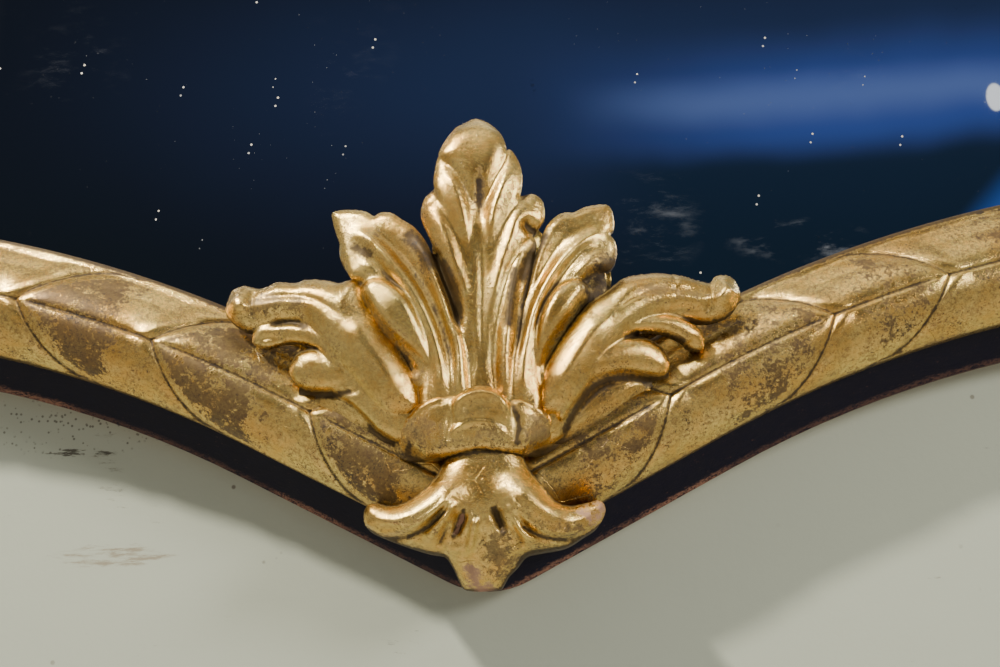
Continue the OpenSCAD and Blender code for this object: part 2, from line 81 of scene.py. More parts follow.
# The same curve as runs along the middle of the gilt band, from the bottom cusp to the top one
SHOULDER_X = ARM_X + SHOULDER_R * np.sin(CUSP_ANGLE)
SHOULDER_Y = -HALF_H + ARM_FOOT + ARM_X * np.tan(CUSP_ANGLE) - SHOULDER_R * np.cos(CUSP_ANGLE)
LEVEL_Y = SHOULDER_Y + SHOULDER_R
ARM_RUN = ARM_X / np.cos(CUSP_ANGLE)
SHOULDER_RUN = CUSP_ANGLE * (SHOULDER_R + MID_U)
LEVEL_RUN = HALF_W - CORNER_R - SHOULDER_X
CORNER_RUN = (CORNER_R - MID_U) * np.pi / 2
QUARTER_RUN = ARM_RUN + SHOULDER_RUN + LEVEL_RUN + CORNER_RUN
SIDE_RUN = -2 * (LEVEL_Y + CORNER_R)
HALF_LOOP = 2 * QUARTER_RUN + SIDE_RUN

# How the mirror leans in the photo, where the cusp's tip is there, and how far levelled places are raised
PHOTO_LEAN = np.radians(1.1)
PHOTO_TIP = (3.0, 4.0)
TIP_LIFT = 0.3

# The camera: its place in metres from the cusp's tip and the plate, its turn, and its lens in photo pixels
CAMERA_X, CAMERA_AWAY, CAMERA_BELOW = 0.0279, 0.600, 0.0042
CAMERA_YAW, CAMERA_PITCH = np.radians(2.13), np.radians(11.41)
LENS_PX, PHOTO_PX, FILM_MM = 1320.0, 1000, 36.0

# The stage in metres: the wall, the floor, and the glowing sheet that paints the plate's reflected room
STAGE_HALF_W, FLOOR_Z, WALL_TOP = 4.0, -1.6, 3.0
ROOM_HALF_W, ROOM_AWAY, ROOM_LOW, ROOM_HIGH = 1.9, 2.6, -1.3, 1.9

# How far a speck on the glass lies from its painted reflection in the silvering, in metres
SPECK_REFLECTION = (0.0012, 0.0, 0.0042)
# Oval patches as x, z, half width and half height in metres: bloom on the plate, and the old mark on the wall
BLOOM, WIDE_BLOOM = (0.148, -0.272, 0.036, 0.012), (0.078, -0.262, 0.03, 0.03)
MARK_LINE, MARK_SPECKS = (-0.196, -0.360, 0.034, 0.0036), (-0.200, -0.345, 0.055, 0.020)
MARK_SMEARS = (-0.180, -0.410, 0.050, 0.010)
# How far the splayed edge's arris is from the wall, in millimetres
ARRIS_DEPTH = 11.0

# A relief's height where nothing is carved, and the least height that counts as carved
UNSET = -60.0
CARVED = -40.0
# How far the blurs reach that find a carving's small and large hollows
SMALL_HOLLOW, LARGE_HOLLOW = 2.2, 5.0
# A carved piece's back: how fast and how far in it deepens from the rim, and the least thickness it leaves
BACK_SLOPE, BACK_REACH, LEAST_THICKNESS = 0.9, 14, 1.5
# Marks: bare gesso with a painted highlight, pink clay, worn gilding, and grime with painted shade
MARKS = ("gesso_and_highlight", "clay", "wear", "grime_and_shade")


# ---- relief carving ----

def level(places):
    """Places measured on the photo, turned upright about the cusp's tip, to the nearest half millimetre."""
    p = np.array(places, float)
    x, y = p[:, 0] - PHOTO_TIP[0], p[:, 1] - PHOTO_TIP[1]
    cos, sin = np.cos(PHOTO_LEAN), np.sin(PHOTO_LEAN)
    p[:, 0] = np.round(2 * (x * cos + y * sin)) / 2
    p[:, 1] = np.round(2 * (y * cos - x * sin + TIP_LIFT)) / 2
    return p


def spline(places, closed=False, steps=6):
    """A smooth run through the places, in as many columns as they have."""
    if closed:
        p = np.vstack([places[-1], places, places[:2]])
    else:
        p = np.vstack([2 * places[0] - places[1], places, 2 * places[-1] - places[-2]])
    t = np.linspace(0, 1, steps, endpoint=False)[:, None]
    runs = []
    for a, b, c, d in zip(p[:-3], p[1:-2], p[2:-1], p[3:]):
        bend = 2 * a - 5 * b + 4 * c - d
        twist = 3 * b - a - 3 * c + d
        runs.append(0.5 * (2 * b + (c - a) * t + bend * t**2 + twist * t**3))
    if not closed:
        runs.append(p[-2][None])
    return np.vstack(runs)


def along(path, x, y):
    """How far each place is from a path, and which part of the path's length it lies beside."""
    steps = np.hypot(*np.diff(path[:, :2], axis=0).T)
    starts = np.cumsum(steps) - steps
    far = np.full(x.shape, np.inf)
    part = np.zeros(x.shape)
    for a, b, length, start in zip(path[:-1], path[1:], steps, starts):
        run = b[:2] - a[:2]
        t = np.clip(((x - a[0]) * run[0] + (y - a[1]) * run[1]) / max(length, 1e-6) ** 2, 0, 1)
        d = np.hypot(x - a[0] - t * run[0], y - a[1] - t * run[1])
        near = d < far
        far = np.where(near, d, far)
        part = np.where(near, (start + t * length) / steps.sum(), part)
    return far, part


def depth_inside(outline, x, y):
    """How far each place is inside a closed outline; below 0 outside it."""
    far, _ = along(np.vstack([outline, outline[:1]]), x, y)
    within = np.zeros(x.shape, bool)
    for (ax, ay), (bx, by) in zip(outline, np.roll(outline, -1, axis=0)):
        if ay != by:
            within ^= ((ay > y) != (by > y)) & (x < (bx - ax) * (y - ay) / (by - ay) + ax)
    return np.where(within, far, -far)


def soften(field, weight, cells):
    """A weighted blur over a number of cells."""
    reach = int(np.ceil(3 * cells))
    kernel = np.exp(-0.5 * (np.arange(-reach, reach + 1) / cells) ** 2)

    def blur(a):
        for axis in (0, 1):
            a = np.apply_along_axis(lambda line: np.convolve(line, kernel, "same"), axis, a)
        return a

    total = blur(weight)
    return np.where(total > 1e-6, blur(field * weight) / np.maximum(total, 1e-6), field)


def ease(t):
    """From 0 to 1 with a soft start and a soft end."""
    t = np.clip(t, 0, 1)
    return t * t * (3 - 2 * t)


def hump(t):
    """A rounded hump, 1 high where t is 0."""
    return np.exp(-(t**2))


def quarter_round(t):
    """From 0 at an edge to 1 a rounding's width inside it."""
    return np.sqrt(1 - (1 - np.clip(t, 0, 1)) ** 2)


class Relief:
    """Carving as heights on a grid. Lobes overlap as separate leaves do, and ridges and grooves follow."""

    def __init__(self, x_range, y_range, step):
        self.step = step
        xs = np.arange(x_range[0], x_range[1] + step, step)
        ys = np.arange(y_range[0], y_range[1] + step, step)
        self.x, self.y = np.meshgrid(xs, ys)
        self.h, self.fringe, self.inside = (np.full(self.x.shape, UNSET) for _ in range(3))
        self.marks = {mark: np.zeros(self.x.shape) for mark in MARKS}

    def window(self, path, margin):
        """The part of the grid about a path."""
        low, high = path[:, :2].min(0) - margin, path[:, :2].max(0) + margin
        cols = np.nonzero((self.x[0] >= low[0]) & (self.x[0] <= high[0]))[0]
        rows = np.nonzero((self.y[:, 0] >= low[1]) & (self.y[:, 0] <= high[1]))[0]
        return slice(rows[0], rows[-1] + 1), slice(cols[0], cols[-1] + 1)

    def lobe(self, outline, crest, rounding, drop):
        """A leaf or lobe: its outline, its crest line with heights, and how its edge is rounded over."""
        edge = spline(level(outline), closed=True)
        line = spline(level(crest))
        w = self.window(edge, 4)
        x, y = self.x[w], self.y[w]
        d = depth_inside(edge, x, y)
        _, part = along(line, x, y)
        places = np.concatenate([[0], np.cumsum(np.hypot(*np.diff(line[:, :2], axis=0).T))])
        top = np.interp(part, places / places[-1], line[:, 2]) - drop * (1 - quarter_round(d / rounding))
        self.h[w] = np.where(d > 0, np.maximum(self.h[w], top), self.h[w])
        close = (d <= 0) & (d > -2.5 * self.step)
        self.fringe[w] = np.where(close, np.maximum(self.fringe[w], top), self.fringe[w])
        self.inside[w] = np.maximum(self.inside[w], d)

    def ridge(self, path, width, height, ends):
        """A rounded pipe laid on the surface, tapered at its ends; a groove where its height is below 0."""
        line = spline(level(path))
        w = self.window(line, 3 * width)
        far, part = along(line, self.x[w], self.y[w])
        self.h[w] += height * hump(far / width) * ease(part / ends) * ease((1 - part) / ends)

    def seat(self, path, width, lift=0.7):
        """Brings the surface down to the moulding beside a path, so that a leaf grows out of it."""
        line = spline(level(path))
        w = self.window(line, width)
        far, _ = along(line, self.x[w], self.y[w])
        low = moulding_height(self.x[w], self.y[w]) + lift
        for heights in (self.h, self.fringe):
            was = heights[w]
            heights[w] = np.where(was > CARVED, np.minimum(was, low + (was - low) * ease(far / width)), was)

    def marked(self, mark, path, width):
        """Notes where bare gesso and a painted highlight, pink clay, worn gilding, or grime and painted shade
        show.
        """
        line = spline(level(path))
        w = self.window(line, 3 * width)
        far, _ = along(line, self.x[w], self.y[w])
        self.marks[mark][w] = np.maximum(self.marks[mark][w], hump(far / width))

    def finish(self, softness=0.5):
        """Softens the tool marks and finds the hollows and the high places."""
        self.h = np.where(self.h <= CARVED, self.fringe, self.h)
        solid = (self.h > CARVED).astype(float)
        self.h = np.where(solid > 0, soften(self.h, solid, softness / self.step), self.h)
        wide = soften(self.h, solid, SMALL_HOLLOW / self.step)
        broad = soften(self.h, solid, LARGE_HOLLOW / self.step)
        fine_hollow = np.clip((wide - self.h - 0.25) / 1.8, 0, 1)
        deep_hollow = np.clip((broad - self.h - 0.8) / 5.0, 0, 1)
        # Hollows and grime marks come out darker: dirt, and painted shade
        self.cavity = np.maximum(0.7 * fine_hollow + 0.7 * deep_hollow, 0.75 * self.marks.pop("grime_and_shade"))
        self.proud = np.clip((self.h - wide) / 1.2, 0, 1)
        return self


def moulding_height(x, y):
    """The moulding's own height under a place on either arm beside the cusp."""
    return dome((y - ARM_FOOT - np.abs(x) * np.tan(CUSP_ANGLE)) * np.cos(CUSP_ANGLE))


def make_mesh(name, points, faces, marks, material):
    """A smooth piece from points in metres and faces, with its marks for the finish to read."""
    mesh = bpy.data.meshes.new(name)
    mesh.from_pydata(points, [], faces)
    for mark, values in marks.items():
        attribute = mesh.attributes.new(mark, "FLOAT", "POINT")
        attribute.data.foreach_set("value", np.asarray(values, np.float32))
    mesh.polygons.foreach_set("use_smooth", np.ones(len(mesh.polygons), bool))
    mesh.materials.append(material)
    piece = bpy.data.objects.new(name, mesh)
    bpy.context.scene.collection.objects.link(piece)
    return piece


def carved_piece(name, r, top, foot, thickness, material):
    """Closes a relief into a solid piece. Its back is a leaf's thickness behind, but not below its foot."""
    keep = (r.inside > -0.35 * r.step) & (r.h > CARVED)
    quads = keep[:-1, :-1] & keep[1:, :-1] & keep[:-1, 1:] & keep[1:, 1:]
    used = np.zeros(keep.shape, int)
    for rows, cols in ((0, 0), (0, 1), (1, 0), (1, 1)):
        used[rows:quads.shape[0] + rows, cols:quads.shape[1] + cols] += quads
    # Places on the rim are drawn onto the true outline
    rim = (used > 0) & (used < 4)
    gy, gx = np.gradient(r.inside, r.step)
    reach = np.clip(r.inside, -0.7 * r.step, 0.9 * r.step) / np.maximum(gx**2 + gy**2, 0.2)
    x = np.where(rim, r.x - reach * gx, r.x)
    y = np.where(rim, r.y - reach * gy, r.y)
    live = used > 0
    count = live.sum()
    number = np.full(keep.shape, -1)
    number[live] = np.arange(count)
    front = np.stack([number[:-1, :-1][quads], number[:-1, 1:][quads], number[1:, 1:][quads],
                      number[1:, :-1][quads]], 1)
    sides = np.concatenate([front[:, [i, (i + 1) % 4]] for i in range(4)])
    there = sides[:, 0] * count + sides[:, 1]
    back_again = sides[:, 1] * count + sides[:, 0]
    a, b = sides[~np.isin(there, back_again)].T
    walls = np.stack([b, a, a + count, b + count], 1)
    faces = np.concatenate([front, front[:, ::-1] + count, walls])
    rear = np.maximum(foot, r.h - thickness - BACK_SLOPE * np.clip(r.inside, 0, BACK_REACH))
    rear = np.minimum(rear, r.h - LEAST_THICKNESS)
    z = (CUSP_TIP / MM + np.tile(y[live], 2)) * MM
    depth = CARCASS_DEPTH + np.concatenate([r.h[live], rear[live]])
    points = np.stack([np.tile(x[live], 2) * MM, -depth * MM, -z if top else z], 1)
    if top:
        faces = faces[:, ::-1]
    marks = {key: np.tile(value[live], 2) for key, value in
             {"cavity": r.cavity, "proud": r.proud, **r.marks}.items()}
    return make_mesh(name, points.tolist(), faces.tolist(), marks, material)


# ---- the ornament's pieces ----

def crown_relief(step):
    """The tall middle leaf, the two upright leaves beside it and the two teardrops at their feet."""
    r = Relief((-70, 70), (40, 218), step)
    # Bed between the leaves
    r.lobe([(-31, 71), (-37, 84), (-38, 96), (-44, 112), (-52, 128), (-56, 138), (-52, 143), (-40, 158),
            (-24, 152), (-12, 152), (0, 165), (14, 152), (24, 150), (34, 158), (52, 150), (57, 138),
            (56, 128), (46, 112), (40, 96), (39, 84), (32, 71), (0, 69)],
           [(0, 71, 33), (0, 100, 33), (0, 120, 31.5), (0, 145, 30), (0, 165, 27)], 4, 2)
    # Left upright leaf
    r.lobe([(-66, 172.5), (-60, 173.5), (-51, 172), (-47, 170), (-44, 171.5), (-39, 171), (-34, 167.5),
            (-28, 163), (-22, 154), (-16, 138), (-9, 120), (-5, 104), (-4, 78), (-24, 78), (-24, 100),
            (-28, 112), (-36, 124), (-45, 134), (-52, 139), (-57, 141), (-60, 148), (-62, 155.5),
            (-64, 161), (-66, 168)],
           [(-14, 80, 39), (-18, 104, 37), (-34, 144, 35), (-52, 164, 31.5), (-62, 170, 29)], 4, 3.2)
    r.lobe([(-62, 158), (-56, 159.5), (-50, 156), (-42, 149), (-36, 142), (-30, 134), (-38, 136),
            (-46, 140), (-54, 141), (-59, 144.5), (-62.5, 151)],
           [(-34, 139, 34), (-46, 148, 35), (-57, 152, 31.5)], 5.5, 5)
    r.ridge([(-61, 163), (-50, 158.5), (-38, 146.5), (-27, 131), (-19, 114), (-15.5, 97),
             (-15, 80)], 3.4, 3.0, 0.15)
    r.ridge([(-52, 153), (-42, 143.5), (-31, 129)], 1.5, -2.0, 0.25)
    r.ridge([(-49, 164.5), (-38, 155), (-27, 140), (-18, 122), (-12, 106), (-10.5, 90)], 3.0, -2.2, 0.25)
    r.ridge([(-29, 160), (-23, 149), (-16, 132), (-10, 112), (-8, 97), (-7.5, 80)], 2.5, 2.9, 0.15)
    r.ridge([(-10, 120), (-5.5, 106), (-4.5, 92), (-4, 80)], 1.7, 1.8, 0.2)
    # Right upright leaf
    r.lobe([(57, 175), (60.5, 171.5), (61, 164), (58.8, 160.5), (61, 157), (61.2, 150), (58.5, 144),
            (52, 143), (44, 137), (36, 126), (30, 112), (27, 100), (27, 78), (11, 78), (12, 104), (16, 118),
            (22, 134), (26, 150), (30, 162), (35, 168.5), (39.5, 170.5), (43, 170.7), (46, 172),
            (49.5, 173.5)],
           [(19, 80, 39), (22, 104, 37), (36, 144, 35), (50, 164, 31.5), (58, 172, 29)], 4, 3.2)
    r.lobe([(60.5, 158), (61.5, 150), (58.5, 143.5), (52, 142.5), (46, 138), (38, 131), (33, 126),
            (38, 138), (46, 148), (54, 155.5)],
           [(37, 132, 35), (48, 145, 36), (58, 152, 32)], 4.5, 4.5)
    r.ridge([(58, 163), (50, 157.5), (38, 145.5), (28, 130), (22, 112), (20, 96), (19.5, 80)], 3.2, 2.8, 0.15)
    r.ridge([(55, 158.5), (45, 151), (35, 138), (28, 124), (25, 108)], 1.7, -2.6, 0.25)
    r.ridge([(42, 163), (33, 151), (25, 134), (19, 114), (16.5, 98)], 2.6, -2.4, 0.25)
    # Small leaf on the stem's right
    r.lobe([(24, 159), (20, 159.5), (15, 153), (11.5, 140), (9, 122), (8.5, 78), (16, 78), (16.5, 104),
            (19, 126), (24, 146), (26, 155)],
           [(12.5, 80, 39.5), (14, 125, 37.5), (20, 155, 33)], 3.5, 3)
    r.ridge([(23, 158), (18.5, 147), (15, 130), (13, 108), (12.5, 84)], 1.9, 2.2, 0.15)
    r.ridge([(19, 156), (16.3, 151), (15.5, 146)], 1.8, -4.0, 0.3)
    r.ridge([(26, 158), (22, 146), (18, 130), (16.3, 112)], 1.6, -2.4, 0.3)
    # Middle leaf
    r.lobe([(-6, 78), (-6, 96), (-7, 110), (-9, 124), (-13, 140), (-18, 152), (-23, 163), (-24, 172),
            (-20, 178), (-18, 184), (-16, 192), (-12, 200), (0, 206), (8, 200), (14, 194), (17, 186),
            (18, 178), (24, 174), (27, 168), (24, 160), (19, 150), (14, 138), (11, 122), (9.5, 108), (9, 78)],
           [(1, 80, 38.5), (0, 100, 37.5), (0, 130, 37.3), (0, 170, 35.8), (0, 200, 30)], 6, 4.5)
    r.lobe([(-22, 180), (-25, 175.5), (-25.7, 168), (-22.5, 160), (-17.5, 149), (-12.5, 137), (-9, 126),
            (-4, 124), (-3, 140), (-6, 156), (-11, 170), (-16.5, 178.5), (-19.5, 181)],
           [(-6, 130, 37), (-14, 155, 37), (-21, 176, 33.5)], 6, 3.6)
    r.lobe([(25, 178.5), (28.7, 175.5), (29.8, 170), (28.7, 165.5), (23.5, 158.5), (17, 149), (12.5, 139),
            (9, 128), (4, 126), (5, 142), (8, 155), (12.5, 166), (17, 174.5), (21, 178)],
           [(7, 132, 37), (15, 155, 37), (24, 174, 33.5)], 6, 3.6)
    r.lobe([(-18, 196), (-19.8, 190), (-20, 183), (-18, 176), (-12, 162), (-7, 150), (-2, 148), (-2, 166),
            (-6, 182), (-11.5, 193), (-15, 197)],
           [(-4, 154, 37.5), (-12, 178, 37.5), (-17, 192, 34.5)], 6, 3.2)
    r.lobe([(13.5, 199.5), (17, 196.5), (19.2, 190), (19.7, 182), (17.5, 174), (12, 162), (7, 151),
            (2, 150), (3, 168), (7, 184), (10, 193)],
           [(4, 154, 37.5), (11, 178, 37.5), (15, 194, 34.5)], 6, 3.2)
    r.lobe([(-2, 216.3), (4, 214.5), (8, 210.5), (11.2, 205.5), (13, 199), (11.5, 191), (7.5, 181),
            (4, 171), (1, 162), (-2, 170), (-7, 181), (-12.5, 190), (-17.8, 196.3), (-17, 200.5),
            (-14, 206), (-9.5, 211.8)],
           [(0, 165, 36), (-1, 186, 37.5), (-2, 204, 36), (-2, 214, 31)], 8, 5.0)
    r.ridge([(0.5, 188), (0.8, 180), (0.8, 172), (1, 162)], 2.0, -2.2, 0.35)
    r.ridge([(1.2, 160), (2.2, 140), (2.4, 118), (2.6, 96)], 1.6, -0.9, 0.3)
    r.ridge([(-2.6, 124), (-1.8, 108), (-1.4, 92)], 1.3, -0.5, 0.3)
    r.ridge([(6.8, 124), (6.2, 108), (6.4, 92)], 1.3, -0.5, 0.3)
    r.ridge([(-8, 122), (-6.5, 106), (-6, 92)], 2.2, 1.0, 0.3)
    r.ridge([(10.5, 122), (10, 106), (10, 92)], 2.2, 1.0, 0.3)
    r.ridge([(-21, 177), (-17, 167), (-12, 152), (-7, 136), (-5, 120)], 3.0, 1.3, 0.3)
    r.ridge([(22, 176), (18, 167), (13, 152), (9, 136), (7, 120)], 2.6, 1.5, 0.3)
    r.ridge([(-16, 193), (-11, 182), (-6.5, 170), (-4, 154)], 2.4, 1.4, 0.3)
    r.ridge([(15.5, 193), (11.5, 182), (7.5, 170), (5, 154)], 2.2, 1.3, 0.3)
    r.ridge([(-11, 140), (-9, 129), (-8, 118)], 2.2, -2.6, 0.3)
    # Grime in the slots between the leaves, in the eye and in the middle valley: dirt, and painted shade
    r.marked("grime_and_shade", [(-15, 146), (-10, 134), (-8, 122)], 3.0)
    r.marked("grime_and_shade", [(-30, 158), (-25, 153), (-21, 146)], 5.0)
    r.marked("grime_and_shade", [(17, 142), (15, 130), (14, 118)], 2.6)
    r.marked("grime_and_shade", [(29, 158), (24, 150), (20, 140)], 4.0)
    r.marked("grime_and_shade", [(58, 146), (54, 136), (50, 127), (47, 120)], 6.5)
    r.marked("grime_and_shade", [(-55, 154), (-49, 151)], 3.0)
    r.marked("grime_and_shade", [(0.5, 184), (0.8, 172)], 1.8)
    r.ridge([(28, 163), (24, 161.5), (20, 166)], 2.6, -4.5, 0.3)
    # Teardrops
    r.lobe([(-49, 139), (-43, 139.5), (-36.5, 136.5), (-30.5, 130), (-24.5, 120), (-20, 110), (-17.5, 100),
            (-18, 92), (-22, 88), (-27, 90), (-31.5, 98), (-36, 106.5), (-43.5, 116), (-49.5, 126),
            (-52.5, 134)],
           [(-21, 90, 36), (-25, 106, 37), (-36, 124, 37.5), (-47, 136, 36)], 5, 3.5)
    r.lobe([(-48, 138.2), (-42, 138.8), (-36, 135.5), (-30, 129), (-24.5, 119), (-20.5, 109), (-18.3, 100),
            (-21, 97.5), (-25, 102.5), (-30.5, 108), (-36, 113), (-41.5, 119), (-46.5, 126), (-50.3, 133)],
           [(-21, 99, 38.5), (-28, 112, 41), (-38, 124.5, 41.8), (-47, 135.5, 39.5)], 4.2, 4.6)
    r.ridge([(-52, 129), (-46.5, 119), (-39, 109.5), (-31.5, 101.5), (-26, 94)], 2.7, -4.2, 0.15)
    # Grime and painted shade in the hollow beside the left teardrop
    r.marked("grime_and_shade", [(-52, 129), (-46, 118.5), (-38.5, 109), (-31, 102)], 2.6)
    r.lobe([(45.5, 138), (49, 133.5), (47.5, 127), (41.5, 117), (36.5, 107), (34, 98), (33, 91), (29.5, 88),
            (26, 92), (24.5, 105.5), (28, 121), (33.5, 133), (40, 138)],
           [(29, 91, 36), (31, 106, 37), (38, 124, 37.5), (45, 135, 36)], 5, 3.5)
    r.lobe([(44.5, 138), (47.6, 135), (46.5, 130.5), (42, 123.5), (36, 115.5), (30.5, 106.5), (27.5, 99.5),
            (25, 100), (25.3, 108), (28, 121), (33, 132.5), (39.5, 137.5)],
           [(26.5, 101, 38.5), (30, 112, 41), (37, 124, 41.8), (43.5, 135, 39.5)], 4.2, 4.6)
    r.ridge([(48.5, 130), (43.5, 120), (37.5, 110.5), (32.8, 101.5), (30.5, 94)], 3.0, -4.4, 0.15)
    # Grime and painted shade in the hollow beside the right teardrop
    r.marked("grime_and_shade", [(48, 128), (42, 117.5), (36.5, 108), (32, 99)], 3.0)
    # Chalk along the tips' edges: bare gesso, and a painted highlight where the edges catch the light
    for path in ([(20.8, 194), (21.5, 187), (20.8, 181)],
                 [(30.3, 176), (31.5, 170), (30.3, 166)],
                 [(62, 174), (63, 168), (61.5, 160), (63, 152), (61, 145)],
                 [(-67.5, 168), (-64.5, 158), (-62.5, 148), (-59, 142)]):
        r.marked("gesso_and_highlight", path, 1.3)
    r.marked("wear", [(52, 146), (52, 136), (50, 126)], 7)
    r.marked("wear", [(-26, 96), (-33, 106), (-44, 120)], 4)
    r.marked("wear", [(1, 188), (1, 176)], 4)
    return r.finish(0.75)


def left_leaf_relief(step):
    """The left leaf that curls out over the moulding, with its flap and the bean-shaped lobe below."""
    r = Relief((-118, -18), (52, 150), step)
    # Web between the moulding's crest and the leaf, then the skirt of the leaf itself
    r.lobe([(-80, 90), (-72, 85.5), (-64, 80.5), (-56, 75.5), (-48, 71.5), (-42, 68.5), (-36, 66.5),
            (-31, 66), (-27, 72), (-30, 84), (-40, 96), (-50, 100), (-62, 98), (-74, 96)],
           [(-77, 92, 24.5), (-60, 88, 26.5), (-45, 82, 27.5), (-32, 73, 28.5)], 3, 1)
    r.seat([(-82, 90), (-72, 84), (-64, 79), (-56, 74), (-48, 70), (-42, 67), (-36, 64.5),
            (-30, 63)], 7, 0.4)
    r.lobe([(-24, 67), (-26, 92), (-40, 112), (-58, 118), (-70, 112), (-77, 104), (-75, 96), (-66, 90),
            (-58, 86), (-50, 79), (-44, 73), (-38, 69), (-32, 67)],
           [(-28, 70, 31), (-36, 84, 33), (-50, 100, 33), (-66, 106, 30), (-74, 102, 28)], 7, 4.5)
    r.lobe([(-25, 80), (-26, 92), (-33, 106), (-41, 117), (-49, 129), (-54, 139.5), (-62, 138.8),
            (-68, 140.5), (-77, 141), (-82, 139.5), (-90, 140.2), (-95, 138.5), (-100, 137.7),
            (-106, 139.3), (-111, 137), (-113.7, 132), (-113.7, 126), (-110, 121), (-104, 118),
            (-98, 118.5), (-92, 119.5), (-84, 119.5), (-76, 117), (-69, 109), (-60, 100), (-52, 92),
            (-46, 85), (-38, 79)],
           [(-30, 80, 39), (-40, 98, 40), (-56, 122, 38.5), (-84, 131, 34), (-108, 129, 31.5)], 15, 9)
    r.lobe([(-99, 121), (-101, 112.5), (-95, 110.3), (-88, 112), (-80, 112), (-72, 110), (-66, 104),
            (-60, 98), (-60, 110), (-68, 118), (-78, 122), (-90, 122)],
           [(-62, 106, 35), (-72, 116, 33), (-98, 117, 28.5)], 5, 3.5)
    r.lobe([(-82.5, 104), (-80, 107.5), (-74, 109.5), (-68, 109), (-61, 106.5), (-54, 102), (-48, 95),
            (-50, 90.5), (-58, 90.3), (-68, 90.3), (-76, 91), (-81.7, 94.5), (-83.7, 100)],
           [(-50, 95, 34), (-62, 99, 33.5), (-76, 99.5, 32)], 7.5, 6.5)
    r.ridge([(-104, 134.5), (-92, 136.3), (-78, 136.3), (-66, 133), (-56, 125)], 3.2, 0.7, 0.25)
    r.ridge([(-102, 131), (-88, 132.3), (-76, 131), (-65, 126), (-57, 118)], 1.2, -0.6, 0.25)
    r.ridge([(-102, 127.5), (-88, 128.5), (-76, 127), (-66, 121), (-58, 112)], 2.6, 0.6, 0.25)
    r.ridge([(-100, 124), (-88, 124.8), (-79, 123)], 1.2, -0.8, 0.25)
    r.ridge([(-94, 121), (-84, 121.5), (-76, 119)], 1.8, -1.8, 0.25)
    r.ridge([(-56, 122), (-48, 111), (-39, 98), (-32, 87)], 5.5, 1.2, 0.2)
    r.ridge([(-111, 133), (-107.5, 128.5), (-106, 124)], 4.5, 2.8, 0.3)
    r.ridge([(-100, 137), (-101.5, 130), (-100, 121)], 1.5, -1.5, 0.2)
    r.ridge([(-98, 114), (-92, 114.2), (-85, 113.8)], 1.6, -1.4, 0.2)
    r.ridge([(-79, 89.8), (-68, 88.8), (-58, 89), (-50, 90)], 1.6, -1.6, 0.2)
    # Grime and painted shade in the slots under the flap and under the bean
    r.marked("grime_and_shade", [(-92, 120.5), (-84, 121), (-76, 118.5)], 1.8)
    r.marked("grime_and_shade", [(-80, 89.5), (-68, 88.5), (-56, 89)], 1.6)
    r.marked("wear", [(-99, 129), (-88, 130), (-76, 128)], 6)
    return r.finish()


